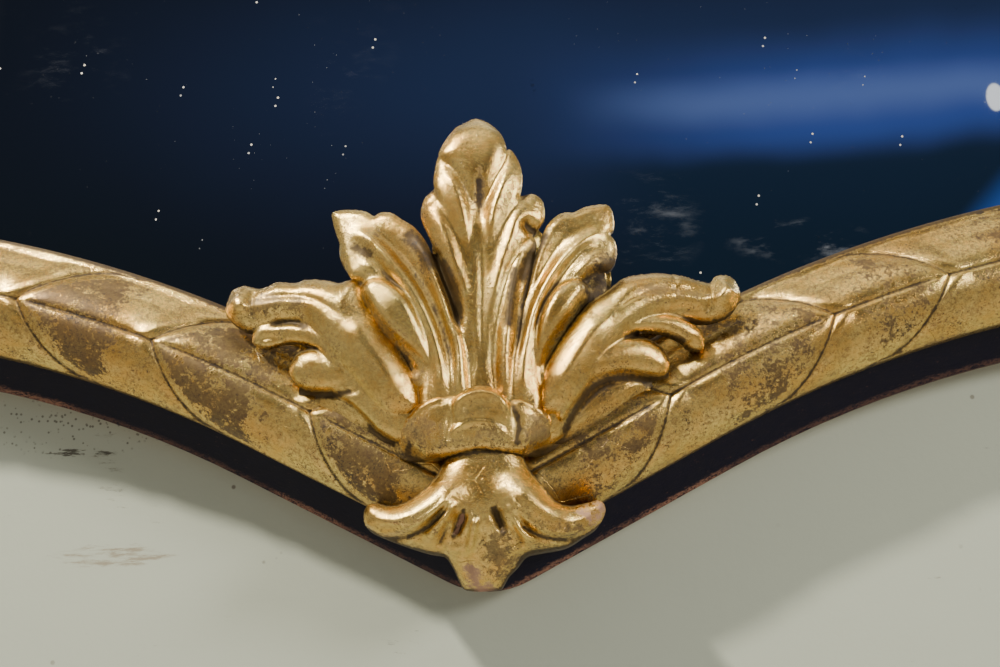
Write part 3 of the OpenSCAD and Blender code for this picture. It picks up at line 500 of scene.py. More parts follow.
def right_leaf_relief(step):
    """The right leaf, of the same parts but measured on its own: it is not the left one turned over."""
    r = Relief((18, 122), (52, 150), step)
    r.lobe([(84, 98), (76, 91.5), (68, 86), (60, 81), (52, 76), (46, 72), (40, 68.5), (35, 67),
            (30, 69), (30, 84), (42, 98), (56, 102), (72, 101)],
           [(81, 98.5, 24.5), (64, 93, 26.5), (48, 86, 27.5), (34, 74, 28.5)], 3, 1)
    r.seat([(86, 98), (76, 90), (68, 84.5), (60, 79.5), (52, 74.5), (45, 70), (38, 66),
            (31, 63.5)], 7, 0.4)
    r.lobe([(24, 66), (27, 92), (40, 112), (58, 118), (72, 114), (80, 106), (80, 98), (70, 93.5),
            (62, 93.5), (56, 92), (50, 88), (45, 82), (40, 75), (36, 69), (31, 66)],
           [(29, 69, 31), (38, 84, 33), (52, 102, 33), (66, 106, 30), (76, 102, 28)], 7, 4.5)
    r.lobe([(27, 80), (27, 92), (33, 106), (41, 118), (49, 128), (57, 134), (64, 139.2), (70, 141.5),
            (80, 142.7), (90, 141.7), (96, 140.2), (103, 138.7), (105.5, 141), (110, 142.5),
            (114, 140.2), (116.3, 135), (116.3, 130), (111, 124), (102, 120.5), (92, 121), (80, 120),
            (68, 114), (59, 105), (51, 94), (44, 85), (37, 79)],
           [(32, 82, 40), (42, 98, 41.5), (60, 122, 39), (84, 133, 34), (110, 134, 31.5)], 15, 9)
    r.lobe([(58, 119), (70, 121.5), (80, 123), (90, 122), (98, 117), (100, 111), (98, 107.8), (93, 109),
            (88, 112.5), (80, 115), (70, 115), (60, 108), (54, 102)],
           [(54, 104, 37), (74, 119, 34.5), (94, 115, 31), (97, 110, 28)], 5, 4.2)
    r.lobe([(56, 112), (64, 113.2), (71, 113.6), (77, 111.6), (82, 107.8), (84, 102), (81.7, 96.5),
            (75, 96), (66, 97.5), (58, 96.5), (50, 93), (43, 85), (37, 76), (34, 80), (40, 95),
            (48, 106)],
           [(38, 82, 38), (48, 97, 38.5), (64, 105, 36.5), (79, 103, 33)], 8, 6.5)
    r.ridge([(104, 136), (92, 138), (78, 138.3), (66, 134), (57, 126)], 3.2, 0.7, 0.25)
    r.ridge([(102, 132.5), (90, 134), (78, 133.3), (66, 128), (57, 119)], 1.2, -0.6, 0.25)
    r.ridge([(102, 128.5), (90, 130), (78, 128.8), (68, 123), (58, 113)], 2.6, 0.6, 0.25)
    r.ridge([(100, 125), (90, 126), (80, 124.3)], 1.2, -0.8, 0.25)
    r.ridge([(56, 122), (47, 111), (39, 98), (33, 88)], 5.5, 1.2, 0.2)
    r.ridge([(92, 110.5), (82, 113.5), (72, 114), (62, 111.5)], 1.7, -1.8, 0.25)
    r.ridge([(113, 137), (109, 132), (106.5, 126)], 4.5, 2.8, 0.3)
    r.ridge([(103, 138.5), (103.5, 132), (101, 123)], 1.5, -1.5, 0.2)
    r.ridge([(87, 142), (87.5, 134), (86.5, 127)], 0.5, -1.0, 0.1)
    r.ridge([(82, 94.5), (72, 94.8), (62, 95.5), (53, 92)], 1.8, -1.6, 0.2)
    # Grime and painted shade in the slots under the flap and under the bean
    r.marked("grime_and_shade", [(90, 111.5), (80, 114), (68, 113)], 1.7)
    r.marked("grime_and_shade", [(83, 95), (72, 94.8), (60, 95), (50, 90), (42, 80), (38, 72)], 1.9)
    r.marked("wear", [(102, 130), (88, 134), (74, 132)], 5)
    return r.finish()


def collar_relief(step):
    """The calyx over the stem: two rounded side lobes and a stacked arch between them."""
    r = Relief((-42, 44), (54, 96), step)
    r.lobe([(-37, 66), (-35.5, 71), (-30, 78), (-23, 84.5), (-14, 87.5), (-8, 88), (2, 90), (8, 88.5),
            (13, 85.5), (18, 85.8), (26, 83), (32, 79), (37, 70), (34, 65), (27, 61.8), (18, 61.5), (8, 63),
            (0, 63), (-8, 61.5), (-16, 60), (-28, 59), (-34, 61)],
           [(-34, 67, 31), (-22, 72, 39), (-8, 74, 41), (12, 74, 41), (22, 72, 39), (34, 68, 31)], 7, 5)
    r.seat([(-42, 68), (-37, 62), (-30, 57)], 10)
    r.seat([(40, 72), (36, 64), (28, 59)], 9)
    r.lobe([(-10, 78), (-9.3, 84.5), (-4, 88.6), (2, 90.2), (8, 88.6), (13.2, 84.5), (14.5, 79),
            (12.5, 73.5), (2, 75.5), (-8, 74)],
           [(2, 76, 42.5), (2, 84, 44), (2, 89.5, 42.5)], 3, 1.8)
    r.ridge([(-8.5, 79), (-6, 84.3), (2, 87.3), (10, 84.3), (13, 78)], 1.2, 1.2, 0.15)
    r.ridge([(-6, 77.5), (-2.5, 81), (2, 82.3), (7, 81), (10.5, 77.5)], 2.8, -0.9, 0.2)
    r.ridge([(-12.5, 68), (-6.5, 73), (1, 74.6), (7.5, 73.4), (13.8, 68)], 1.4, 1.6, 0.2)
    r.ridge([(-8, 67), (2, 69.5), (10.5, 67)], 3.2, -0.8, 0.3)
    r.ridge([(-34, 69), (-29, 77.5), (-21, 83.2), (-13, 86)], 1.3, 1.1, 0.15)
    r.ridge([(17, 84.3), (25.5, 81.2), (33, 73.5)], 1.3, 1.1, 0.15)
    r.ridge([(-13.5, 64), (-12, 72), (-11.5, 80)], 1.5, -1.0, 0.3)
    r.ridge([(16, 64), (17.5, 72), (16.5, 80)], 1.5, -1.2, 0.3)
    # Grime and painted shade in a corner of the left lobe and in the right groove
    r.marked("grime_and_shade", [(-31, 62.5), (-29.5, 65)], 2.2)
    r.marked("grime_and_shade", [(17.5, 66), (18, 74), (16, 81)], 1.6)
    r.marked("wear", [(-30, 67), (-22, 72), (-14, 73)], 9)
    r.marked("wear", [(2, 68), (14, 67)], 6)
    r.marked("wear", [(20, 68), (28, 73)], 9)
    return r.finish(0.45)


def fan_relief(step):
    """The shell that turns down over the cusp: a neck, two scrolled wings and a tongue."""
    r = Relief((-54, 60), (-4, 74), step)
    r.lobe([(-9, 70), (-12.5, 62), (-15.5, 57), (-18, 52), (-23, 46), (-29, 41.5), (-36, 39.7), (-44, 40.7),
            (-47.8, 38.7), (-48.8, 34), (-45.8, 28.8), (-38, 25), (-30, 22), (-22, 19.9), (-15, 18.4),
            (-11, 14), (-8.5, 8), (-6.5, 4.5), (-2, 3.6), (3, 3.5), (9, 4.3), (10.5, 6), (13, 10), (17, 14),
            (20.5, 18.5), (27, 20), (38, 22.4), (46, 26.8), (51.8, 31.3), (54.8, 37), (53, 41.5),
            (47, 40.5), (40, 39.5), (34, 41.5), (28, 48), (22.5, 55), (19.5, 62), (16, 70)],
           [(3, 70, 36), (3, 63, 36), (3, 56, 37), (2.5, 47, 38.6), (2.5, 38, 39), (2.5, 30, 37),
            (2, 22, 32), (2, 4, 21)], 10, 7.5)
    # Wings
    r.ridge([(-9, 56), (-13, 45), (-22, 36.5), (-33, 31.8), (-45, 33)], 8.0, 4.0, 0.3)
    r.ridge([(15, 56), (19, 45), (28, 36.5), (39, 31.8), (50, 35)], 8.0, 4.0, 0.3)
    # Rims of the wings, each with a groove under it that parts it from the fold below
    r.ridge([(-50, 39), (-48.2, 33), (-41, 28.6), (-30, 29.6), (-22, 33.4), (-14.4, 39.4),
             (-10.6, 45)], 1.1, 1.3, 0.12)
    r.ridge([(54.5, 36), (48, 30.4), (39.7, 27.8), (29.3, 29), (22, 33.2), (17.5, 38.5),
             (14.5, 44)], 1.1, 1.3, 0.12)
    r.ridge([(-42, 25.8), (-30, 26.6), (-20.6, 30.8), (-12.6, 37.2), (-9, 43)], 1.5, -2.6, 0.2)
    r.ridge([(47, 27.2), (38.5, 25.2), (28, 26.4), (20.2, 30.6), (15.4, 37), (12.8, 42)], 1.5, -2.6, 0.2)
    # Flutes between the wings and the eyes
    r.ridge([(-9, 42), (-13.6, 33.2), (-19.6, 27), (-24, 23.8)], 1.9, 3.6, 0.2)
    r.ridge([(13.5, 41), (17, 33), (20.6, 27), (26, 22.8)], 1.9, 3.2, 0.2)
    r.ridge([(-11.4, 33), (-14.6, 26.5), (-17.5, 21.5)], 1.1, -1.8, 0.25)
    r.ridge([(14.6, 32), (17.4, 26), (20.4, 21.5)], 1.1, -1.8, 0.25)
    r.ridge([(-5.5, 22.5), (-10, 20.8), (-15, 20.8)], 2.0, 1.5, 0.3)
    r.ridge([(11, 22.8), (15, 21), (20, 21.2)], 2.0, 1.5, 0.3)
    # Eyes and their rims
    r.ridge([(-5.2, 37.2), (-7.2, 32), (-9.8, 26.4)], 2.1, -3.8, 0.25)
    r.ridge([(7.2, 39), (9.2, 33.5), (12, 27.8)], 2.1, -3.8, 0.25)
    r.ridge([(-2.2, 37.5), (-4, 31.5), (-7.4, 24.8)], 0.9, 1.1, 0.2)
    r.ridge([(11, 37.6), (13, 32), (14.8, 27.2)], 0.9, 1.1, 0.2)
    r.ridge([(0.6, 36), (-1.4, 28), (-4, 17.5)], 1.6, 3.0, 0.3)
    r.ridge([(3.4, 31), (2.6, 22), (1.6, 14)], 1.3, -1.2, 0.3)
    r.ridge([(-4.8, 21), (-4, 14), (-3, 7)], 1.6, -1.0, 0.3)
    r.ridge([(6.5, 25), (6.5, 16), (6, 8)], 1.6, -1.0, 0.3)
    # Painted shadow on the fan along the collar's lower edge, with grime
    r.marked("grime_and_shade", [(-24, 59.5), (-10, 61), (2, 62.3), (12, 62.3), (26, 60.5)], 1.2)
    r.marked("clay", [(-3, 12), (1, 6), (4, 5)], 6.0)
    r.marked("clay", [(46, 36), (50, 34.5), (52.5, 38)], 5.5)
    r.marked("clay", [(-5.4, 35.6), (-8.8, 28)], 1.7)
    # Grime and painted shade in the eyes and in the grooves under the wings' rims
    r.marked("grime_and_shade", [(7.6, 38), (11.6, 29)], 2.2)
    r.marked("grime_and_shade", [(-5.2, 37), (-9.8, 26.6)], 1.3)
    r.marked("grime_and_shade", [(-30, 26.2), (-20.4, 30.2), (-12.6, 36.6)], 0.9)
    r.marked("grime_and_shade", [(38, 25), (28, 26), (20.2, 30.2)], 0.9)
    r.marked("wear", [(9, 24), (10, 12)], 8)
    r.marked("wear", [(36, 31), (44, 29.5)], 4)
    return r.finish()


# Each carved piece: its relief, the height of its foot and the thickness of its leaves, in millimetres
CARVINGS = {
    "crown": (crown_relief, 14.0, 5.0),
    "leaf_left": (left_leaf_relief, 12.0, 6.0),
    "leaf_right": (right_leaf_relief, 12.0, 6.0),
    "collar": (collar_relief, 16.3, 40.0),
    "fan_shell": (fan_relief, 0.3, 40.0),
}


# ---- the laurel moulding ----

# Where the leaves' tips lie along the band, in millimetres from the cusp, measured on each side of the photo
LEAF_TIPS = {"left": [34.0, 106.6, 186.4, 252.9], "right": [42.0, 114.2, 196.1, 250.6]}
LEAF_PITCH = 72.0
LAST_TIP = HALF_LOOP - 40.0
LEAF_HALF_W = 25.5
MIDRIB_U = MID_U - 1.0
# How far back a leaf's edge runs from its tip below and above the midrib, and how blunt both are
LEAF_EDGE_LOW, LEAF_EDGE_HIGH, LEAF_BLUNT = 43.0, 45.0, 2.2
# A leaf's height over the dome at its foot, its rise to the tip, its rounded edge and its halves' fullness
LEAF_FOOT_H, LEAF_RISE = -1.2, 2.6
LEAF_ROUND_W, LEAF_ROUND_H = 4.0, 1.5
LEAF_FULL = 1.1
MIDRIB_DEEP, MIDRIB_W = 0.7, 0.7
BESIDE_LEAF_H = -1.6
# How far ahead the next edge counts as lying where there is none
NO_EDGE = 40.0
# The left arm has more worn patches than the right: real wear, and painted shade that darkens the left arm
LEAF_WEAR_AND_SHADE = {"left": 1.15, "right": 0.72}
# The gilt band starts beside the ornament's stem. Its far stretches have fewer stations.
BAND_START = 37.0
FINE_UNTIL = 330.0
COARSER = 1.8
ACROSS_STEP = 0.62
BAND_MARGIN = 0.3


def rail_place(s):
    """A station of the right half: its place on the rail's outer edge, and the way in across the rail."""
    upper = s > HALF_LOOP / 2
    if upper:
        s = HALF_LOOP - s
    if s <= ARM_RUN:
        p = np.array([s * np.cos(CUSP_ANGLE), -HALF_H + ARM_FOOT + s * np.sin(CUSP_ANGLE)])
        n = np.array([-np.sin(CUSP_ANGLE), np.cos(CUSP_ANGLE)])
    elif s <= ARM_RUN + SHOULDER_RUN:
        a = np.pi / 2 + CUSP_ANGLE - (s - ARM_RUN) / (SHOULDER_R + MID_U)
        n = np.array([np.cos(a), np.sin(a)])
        p = np.array([SHOULDER_X, SHOULDER_Y]) + SHOULDER_R * n
    elif s <= ARM_RUN + SHOULDER_RUN + LEVEL_RUN:
        p = np.array([SHOULDER_X + s - ARM_RUN - SHOULDER_RUN, LEVEL_Y])
        n = np.array([0.0, 1.0])
    elif s <= QUARTER_RUN:
        a = -(QUARTER_RUN - s) / (CORNER_R - MID_U)
        n = -np.array([np.cos(a), np.sin(a)])
        p = np.array([HALF_W - CORNER_R, LEVEL_Y + CORNER_R]) - CORNER_R * n
    else:
        p = np.array([HALF_W, LEVEL_Y + CORNER_R + s - QUARTER_RUN])
        n = np.array([-1.0, 0.0])
    return (p * [1, -1], n * [1, -1]) if upper else (p, n)


def leaf_tips(hand):
    """All the tips along one half, at an even pitch beyond the measured ones."""
    measured = LEAF_TIPS[hand]
    rest = LAST_TIP - measured[-1]
    count = round(rest / LEAF_PITCH)
    return np.array(measured + list(measured[-1] + rest * np.arange(1, count + 1) / count))


def edge_back(side):
    """How far behind a leaf's tip its edge lies, at a distance from the midrib (below it where negative)."""
    n = np.clip(np.abs(side) / LEAF_HALF_W, 0, 0.9999)
    return np.where(side < 0, LEAF_EDGE_LOW, LEAF_EDGE_HIGH) * (1 - (1 - n) ** (1 / LEAF_BLUNT))


def laurel(s, u, tips):
    """The leaves' height over the moulding's dome, and where they are worn, dirty or in painted shade, and
    proud.
    """
    side = u - MIDRIB_U
    n = np.abs(side) / LEAF_HALF_W
    back = edge_back(side)
    slant = np.sqrt(1 + (edge_back(side + 0.5) - edge_back(side - 0.5)) ** 2)
    # Each place belongs to the first leaf whose edge is still ahead of it
    ahead = tips[:, None, None] - back[None] - s[None]
    ahead = np.where(ahead > 0, ahead, np.inf)
    leaf = np.argmin(ahead, axis=0)
    gap = np.take_along_axis(ahead, leaf[None], 0)[0]
    near = np.where(np.isinf(gap), NO_EDGE, gap) / slant
    tip = tips[leaf]
    previous = np.where(leaf > 0, tips[np.maximum(leaf - 1, 0)], tip - LEAF_PITCH)
    past = (s - previous + back) / slant
    part = np.clip((s - previous) / (tip - previous), 0, 1.2)
    # The first leaf lies under the ornament, and is nearly plain
    cut = np.where(leaf > 0, 1.0, 0.15)
    on_leaf = ease((1.02 - n) / 0.05)
    rib = ease((tip - s - 3) / 8) * cut
    halves = np.clip(1 - (2.1 * n - 1.0) ** 4, 0, 1)
    lift = LEAF_FOOT_H + LEAF_RISE * part - LEAF_ROUND_H * (1 - quarter_round(near / LEAF_ROUND_W))
    lift += LEAF_FULL * halves * ease(near / 9) * cut
    lift -= MIDRIB_DEEP * rib * hump(side / MIDRIB_W)
    # Past the tip that lies over it, a leaf first dips and then swells
    lift += (1.0 * hump((past - 4.5) / 3.2) - 0.7 * hump(past / 0.9)) * on_leaf
    lift = lift * on_leaf + (1 - on_leaf) * BESIDE_LEAF_H
    wear = ease((part - 0.10) / 0.3) * ease((near - 1.8) / 3) * on_leaf * (1 - 0.4 * hump(side / 2.0))
    # Dark in the crevices at leaf edges, beside the leaves, along the bead, in the midrib and under each tip:
    # dirt, and painted shade
    cavity = 0.5 * hump(near / 0.7) + 0.5 * hump((n - 1.05) / 0.05) + 0.6 * hump((u - RAIL_U + 0.5) / 1.4)
    cavity += 0.75 * rib * hump(side / MIDRIB_W) + 0.8 * hump((past - 0.1) / 0.8) * on_leaf
    proud = 0.7 * hump((past - 3.0) / 2.2) * on_leaf
    return lift, wear, np.clip(cavity, 0, 1), proud


def dome(u):
    """The moulding's own section, as in the part: a dome, a fillet and a bead at the sight edge."""
    bead_u = RAIL_U - BEAD_W
    part = np.clip((u - EDGE_U) / (bead_u - EDGE_U), 0, 1)
    crown = SIDE_H + (CROWN_H - SIDE_H) * np.sin(np.pi * part**0.9) ** 0.7
    round_bead = np.sqrt(np.clip(1 - ((u - RAIL_U + BEAD_W / 2) / (BEAD_W / 2)) ** 2, 0, 1))
    bead = np.where(u > bead_u, SIDE_H + (BEAD_H - SIDE_H) * round_bead, 0)
    fillet = np.where(u > bead_u - FILLET_W, FILLET_H + (bead_u - u) * FILLET_SLOPE, 0)
    return np.maximum(np.maximum(crown, fillet), bead)


def padded(values):
    """A grid's values with its first and last columns repeated, for the moulding's two lower edges."""
    return np.concatenate([values[:, :1], values, values[:, -1:]], 1)


def moulding_piece(name, start, end, hand, step, material):
    """One length of the moulding with its leaves, between two distances along the half loop."""
    stations = [start]
    while stations[-1] < end:
        stride = step if stations[-1] < FINE_UNTIL else COARSER * step
        stations.append(min(stations[-1] + stride, end))
    low, high = EDGE_U + BAND_MARGIN, RAIL_U - BAND_MARGIN
    across = np.append(np.arange(low, high, ACROSS_STEP), high)
    grid_s, grid_u = np.meshgrid(stations, across, indexing="ij")
    lift, wear, cavity, proud = laurel(grid_s, grid_u, leaf_tips(hand))
    margin = ease((grid_u - EDGE_U) / 2) * ease((RAIL_U - BEAD_W / 2 - grid_u) / 3)
    u = padded(grid_u)
    u[:, 0], u[:, -1] = EDGE_U, RAIL_U
    height = padded(dome(grid_u) + lift * margin)
    height[:, 0], height[:, -1] = 0, 0
    outer, inward = (np.array(column)[:, None] for column in zip(*map(rail_place, stations)))
    flat = outer + inward * u[..., None]
    turn = -1 if hand == "left" else 1
    points = np.stack([flat[..., 0] * turn * MM, -(CARCASS_DEPTH + height) * MM, flat[..., 1] * MM], -1)
    number = np.arange(height.size).reshape(height.shape)
    quads = np.stack([number[:-1, :-1], number[1:, :-1], number[1:, 1:], number[:-1, 1:]], -1)
    base = np.stack([number[1:, 0], number[:-1, 0], number[:-1, -1], number[1:, -1]], 1)
    faces = quads.reshape(-1, 4).tolist() + base.tolist() + [number[0].tolist(), number[-1][::-1].tolist()]
    if hand == "left":
        faces = [face[::-1] for face in faces]
    marks = {"wear": wear * LEAF_WEAR_AND_SHADE[hand], "cavity": cavity, "proud": proud}
    marks = {mark: padded(values).ravel() for mark, values in marks.items()}
    return make_mesh(name, points.reshape(-1, 3).tolist(), faces, marks, material)


# ---- shaders ----

class Value:
    """A shader socket that takes part in ordinary arithmetic."""

    def __init__(self, finish, socket):
        self.finish = finish
        self.socket = socket

    def maths(self, operation, *values):
        return self.finish.node("ShaderNodeMath", {"operation": operation}, *values)

    def __add__(self, other):
        return self.maths("ADD", self, other)

    def __sub__(self, other):
        return self.maths("SUBTRACT", self, other)

    def __mul__(self, other):
        return self.maths("MULTIPLY", self, other)

    def __truediv__(self, other):
        return self.maths("DIVIDE", self, other)

    def __rsub__(self, other):
        return self.maths("SUBTRACT", other, self)

    __radd__ = __add__
    __rmul__ = __mul__

    def clamp(self):
        return self.finish.node("ShaderNodeClamp", {}, self, 0.0, 1.0)

    def band(self, low, high):
        """0 below low, 1 above high, smooth between."""
        smooth = {"interpolation_type": "SMOOTHSTEP"}
        return self.finish.node("ShaderNodeMapRange", smooth, self, low, high, 0.0, 1.0)

    def size(self):
        return self.maths("ABSOLUTE", self)

    def at_least(self, other):
        return self.maths("MAXIMUM", self, other)


class Finish:
    """A material and its nodes."""

    def __init__(self, name, **constants):
        self.material = bpy.data.materials.new(name)
        self.material.use_nodes = True
        self.tree = self.material.node_tree
        self.shader = self.tree.nodes["Principled BSDF"]
        for socket, value in constants.items():
            self.shader.inputs[socket.replace("_", " ")].default_value = value
        self.place = self.node("ShaderNodeTexCoord", {}, output="Object")

    def node(self, kind, settings, *values, output=0, **named):
        """A node of a kind, its settings first and then its sockets, by order or by name."""
        node = self.tree.nodes.new(kind)
        for key, value in settings.items():
            setattr(node, key, value)
        for socket, value in list(enumerate(values)) + list(named.items()):
            if value is None:
                continue
            entry = node.inputs[socket]
            if isinstance(value, Value):
                self.tree.links.new(value.socket, entry)
            else:
                entry.default_value = value
        return Value(self, node.outputs[output])

    def axis(self, name, vector=None):
        """One axis of a place, or of another vector."""
        return self.node("ShaderNodeSeparateXYZ", {}, vector or self.place, output=name)

    def mark(self, name):
        return self.node("ShaderNodeAttribute", {"attribute_name": name}, output="Fac")

    def noise(self, scale, detail=4.0, roughness=0.55, place=None):
        return self.node("ShaderNodeTexNoise", {}, Vector=place or self.place, Scale=scale,
                         Detail=detail, Roughness=roughness)

    def streaks(self, scale, detail, roughness, turn=(0, 0, 0)):
        """Noise drawn out along an axis, with a scale for each."""
        return self.noise(1.0, detail, roughness, self.stretched(scale, turn))

    def cells(self, scale, feature="F1", place=None):
        return self.node("ShaderNodeTexVoronoi", {"feature": feature}, Vector=place or self.place,
                         Scale=scale, output="Distance")

    def stretched(self, scale, turn=(0, 0, 0)):
        return self.node("ShaderNodeMapping", {}, Vector=self.place, Rotation=turn, Scale=scale,
                         output="Vector")

    def depth(self):
        """How far a place is from the wall, in millimetres."""
        return self.axis("Y") * (-1 / MM)

    def patch(self, x, z, half_wide, half_high):
        """A soft oval patch about a place on an upright face."""
        dx = (self.axis("X") - x) / half_wide
        dz = (self.axis("Z") - z) / half_high
        return 1 - (dx * dx + dz * dz).band(0.0, 1.0)

    def mix(self, factor, a, b):
        """Colours a and b, each an RGB triple or a link."""
        node = self.tree.nodes.new("ShaderNodeMix")
        node.data_type = "RGBA"
        for index, value in ((0, factor), (6, a), (7, b)):
            if isinstance(value, Value):
                self.tree.links.new(value.socket, node.inputs[index])
            else:
                node.inputs[index].default_value = value if index == 0 else (*value, 1.0)
        return Value(self, node.outputs[2])

    def feed(self, socket, value):
        self.tree.links.new(value.socket, self.shader.inputs[socket])

    def relief(self, height, distance, strength=1.0):
        """Bumps from a height, its full range `distance` metres."""
        bump = self.node("ShaderNodeBump", {}, Strength=strength, Distance=distance, Height=height,
                         output="Normal")
        self.feed("Normal", bump)


def gilding(name, props, carved):
    """Water gilding over red clay and gesso, rubbed on the high places, with dirt and painted shade in
    hollows.
    """
    f = Finish(name, Specular_IOR_Level=0.5, Coat_Roughness=0.12)
    cavity, proud, wear = f.mark("cavity"), f.mark("proud"), f.mark("wear")
    tone = f.noise(28, 5, 0.6)
    mottle = f.noise(170, 6, 0.75)
    fine = f.noise(620, 5, 0.8)
    grain = f.noise(1700, 3, 0.7)
    gold = f.mix((tone * 0.5 + mottle * 0.5).band(0.38, 0.62), props.gold_deep, props.gold_pale)
    thin = (mottle * 0.5 + fine * 0.7).band(0.52, 0.72)
    gold = f.mix(thin * (0.55 if carved else 0.8), gold, props.gold_rubbed)
    # Brown clay where the leaf is rubbed through
    worn = (proud * 0.2 + mottle * 0.7 + fine * 0.7 - 0.92).band(0.0, 0.16)
    streaks = f.noise(75, 5, 0.75)
    patches = (wear * 0.55 + streaks * 1.9 + mottle * 1.4 + fine * 1.4).band(2.62, 2.92)
    specks = (fine * 0.6 + grain * 1.0 + f.noise(60, 4, 0.7) * 0.7).band(1.25, 1.36)
    crazing = (1 - f.cells(34, "DISTANCE_TO_EDGE").band(0.0, 0.007)) * f.noise(22, 2).band(0.58, 0.66)
    # Dark brown in the hollows and grime marks: old dirt, and painted shade
    dirt_and_shade = (cavity * 1.0 + fine * 0.9 + mottle * 0.6 - 0.77).band(0.0, 0.65)
    colour = f.mix(patches * (0.7 if carved else 0.85), gold, props.worn_brown)
    colour = f.mix(worn * 0.5, colour, props.bole)
    colour = f.mix(dirt_and_shade * 0.92, colour, props.dirt_and_shade)
    colour = f.mix(specks * 0.85, colour, props.specks)
    metal = (1 - dirt_and_shade * 0.5) * (1 - specks * 0.9) * (1 - worn * 0.3) * (1 - patches * 0.5)
    rough = 0.08 + mottle * 0.14 + fine * 0.14 + dirt_and_shade * 0.3 + worn * 0.1 + patches * 0.16
    if carved:
        # Pale gesso at the tips' edges, which also stands as a painted highlight
        bare = (f.mark("gesso_and_highlight") * 0.7 + mottle * 0.5 + fine * 0.5).band(0.98, 1.12)
        pink = (f.mark("clay") * 0.5 + mottle * 0.8 + fine * 0.5).band(1.0, 1.16)
        colour = f.mix(bare, f.mix(pink * 0.85, colour, props.clay), props.gesso)
        metal = metal * (1 - bare) * (1 - pink * 0.9)
        rough = rough + bare * 0.4 + pink * 0.35
    f.feed("Base Color", colour)
    f.feed("Metallic", metal.clamp())
    f.feed("Roughness", rough.clamp())
    f.feed("Coat Weight", ((1 - dirt_and_shade) * (1 - patches) * (1 - specks) * 0.06).clamp())
    f.relief(mottle * 0.17 + fine * 0.15 + grain * 0.03 - crazing * 0.2 - patches * 0.05, 0.0012, 0.9)
    return f.material


def black_edge(name, props):
    """Ebonised pine: navy-black paint, rubbed to red-brown along the outer arris, bare wood on the back."""
    f = Finish(name, Specular_IOR_Level=0.12)
    depth = f.depth()
    facing = f.axis("Y", f.node("ShaderNodeNewGeometry", {}, output="Normal"))
    mottle = f.noise(180, 6, 0.7)
    fine = f.noise(900, 4, 0.7)
    level_grain = f.streaks((60, 700, 700), 6, 0.7)
    upright_grain = f.streaks((700, 700, 60), 6, 0.7)
    grazes = f.streaks((70, 500, 500), 5, 0.75)
    near_arris = 1 - (depth + (grazes - 0.5) * 8.0 - (ARRIS_DEPTH + 5.8)).band(0.0, 1.4)
    rubbed = near_arris * (grazes * 0.6 + fine * 0.6).band(0.50, 0.66)
    rubbed = rubbed * (0.35 + f.noise(16, 2).band(0.46, 0.56) * 0.65)
    rubbed = rubbed.at_least((grazes * 0.7 + fine * 0.5).band(0.72, 0.80) * 0.5)
    chips = (mottle * 0.6 + fine * 0.5).band(0.71, 0.75)
    bare = (facing - 0.4).band(0, 0.1).at_least((ARRIS_DEPTH + 0.2 - depth).band(0.0, 0.6))
    black = f.mix(mottle.band(0.35, 0.7), props.black_deep, props.black_rubbed)
    colour = f.mix(rubbed * 0.85, black, props.arris_brown)
    colour = f.mix(chips * 0.5, colour, props.bole)
    pine = f.mix(level_grain.band(0.35, 0.68), props.old_pine, props.old_pine_dark)
    pine = f.mix(f.noise(14, 4).band(0.4, 0.75) * 0.5, pine, props.old_pine_stain)
    f.feed("Base Color", f.mix(bare, colour, pine))
    f.feed("Roughness", (0.38 + mottle * 0.3 + rubbed * 0.2 + bare * 0.3).clamp())
    f.relief(mottle * 0.4 + fine * 0.3 + level_grain * 0.4 + upright_grain * 0.2 - chips * 0.6, 0.0007, 0.5)
    return f.material


def old_plate(name, props):
    """Silvered glass with dust specks and their painted reflections, bloom along the sight edge, and foxing.
    """
    f = Finish(name, Metallic=1.0, Specular_IOR_Level=0.5)

    def dust_specks(place=None):
        """Specks on the front of the glass."""
        return (1 - f.cells(75, place=place).band(0.03, 0.05)) * f.noise(30, 2, place=place).band(0.44, 0.52)

    front = (f.depth() - (CARCASS_DEPTH - 1.0)).band(0.0, 0.5)
    # Each speck is painted once more, as its reflection in the silvering behind the glass
    speck_reflection = f.node("ShaderNodeVectorMath", {"operation": "ADD"}, f.place, SPECK_REFLECTION, output="Vector")
    grains = (1 - f.cells(260).band(0.02, 0.05)) * f.noise(18, 3).band(0.45, 0.7)
    smears = f.streaks((60, 200, 160), 6, 0.7, (0, 0.6, 0)).band(0.5, 0.85) * f.noise(9, 2).band(0.56, 0.75)
    foxing = f.noise(45, 6, 0.75).band(0.69, 0.8)
    wisps = f.streaks((22, 60, 60), 6, 0.7, (0, -0.5, 0)).band(0.5, 0.75)
    bloom = (f.patch(*BLOOM) + f.patch(*WIDE_BLOOM) * 0.35) * wisps
    marks = (dust_specks() + dust_specks(speck_reflection) * 0.7 + grains * 0.5).clamp()
    colour = f.mix(marks * 0.9, props.silver, props.dust)
    colour = f.mix(foxing * 0.6, colour, props.foxing)
    colour = f.mix(1 - front, colour, props.backing_paint)
    f.feed("Base Color", colour)
    f.feed("Metallic", ((1 - marks * 0.9) * (1 - smears * 0.04) * (1 - bloom * 0.3) * front).clamp())
    rough = 0.015 + marks * 0.6 + smears * 0.05 + bloom * 0.3 + foxing * 0.2 + (1 - front) * 0.5
    f.feed("Roughness", rough.clamp())
    return f.material


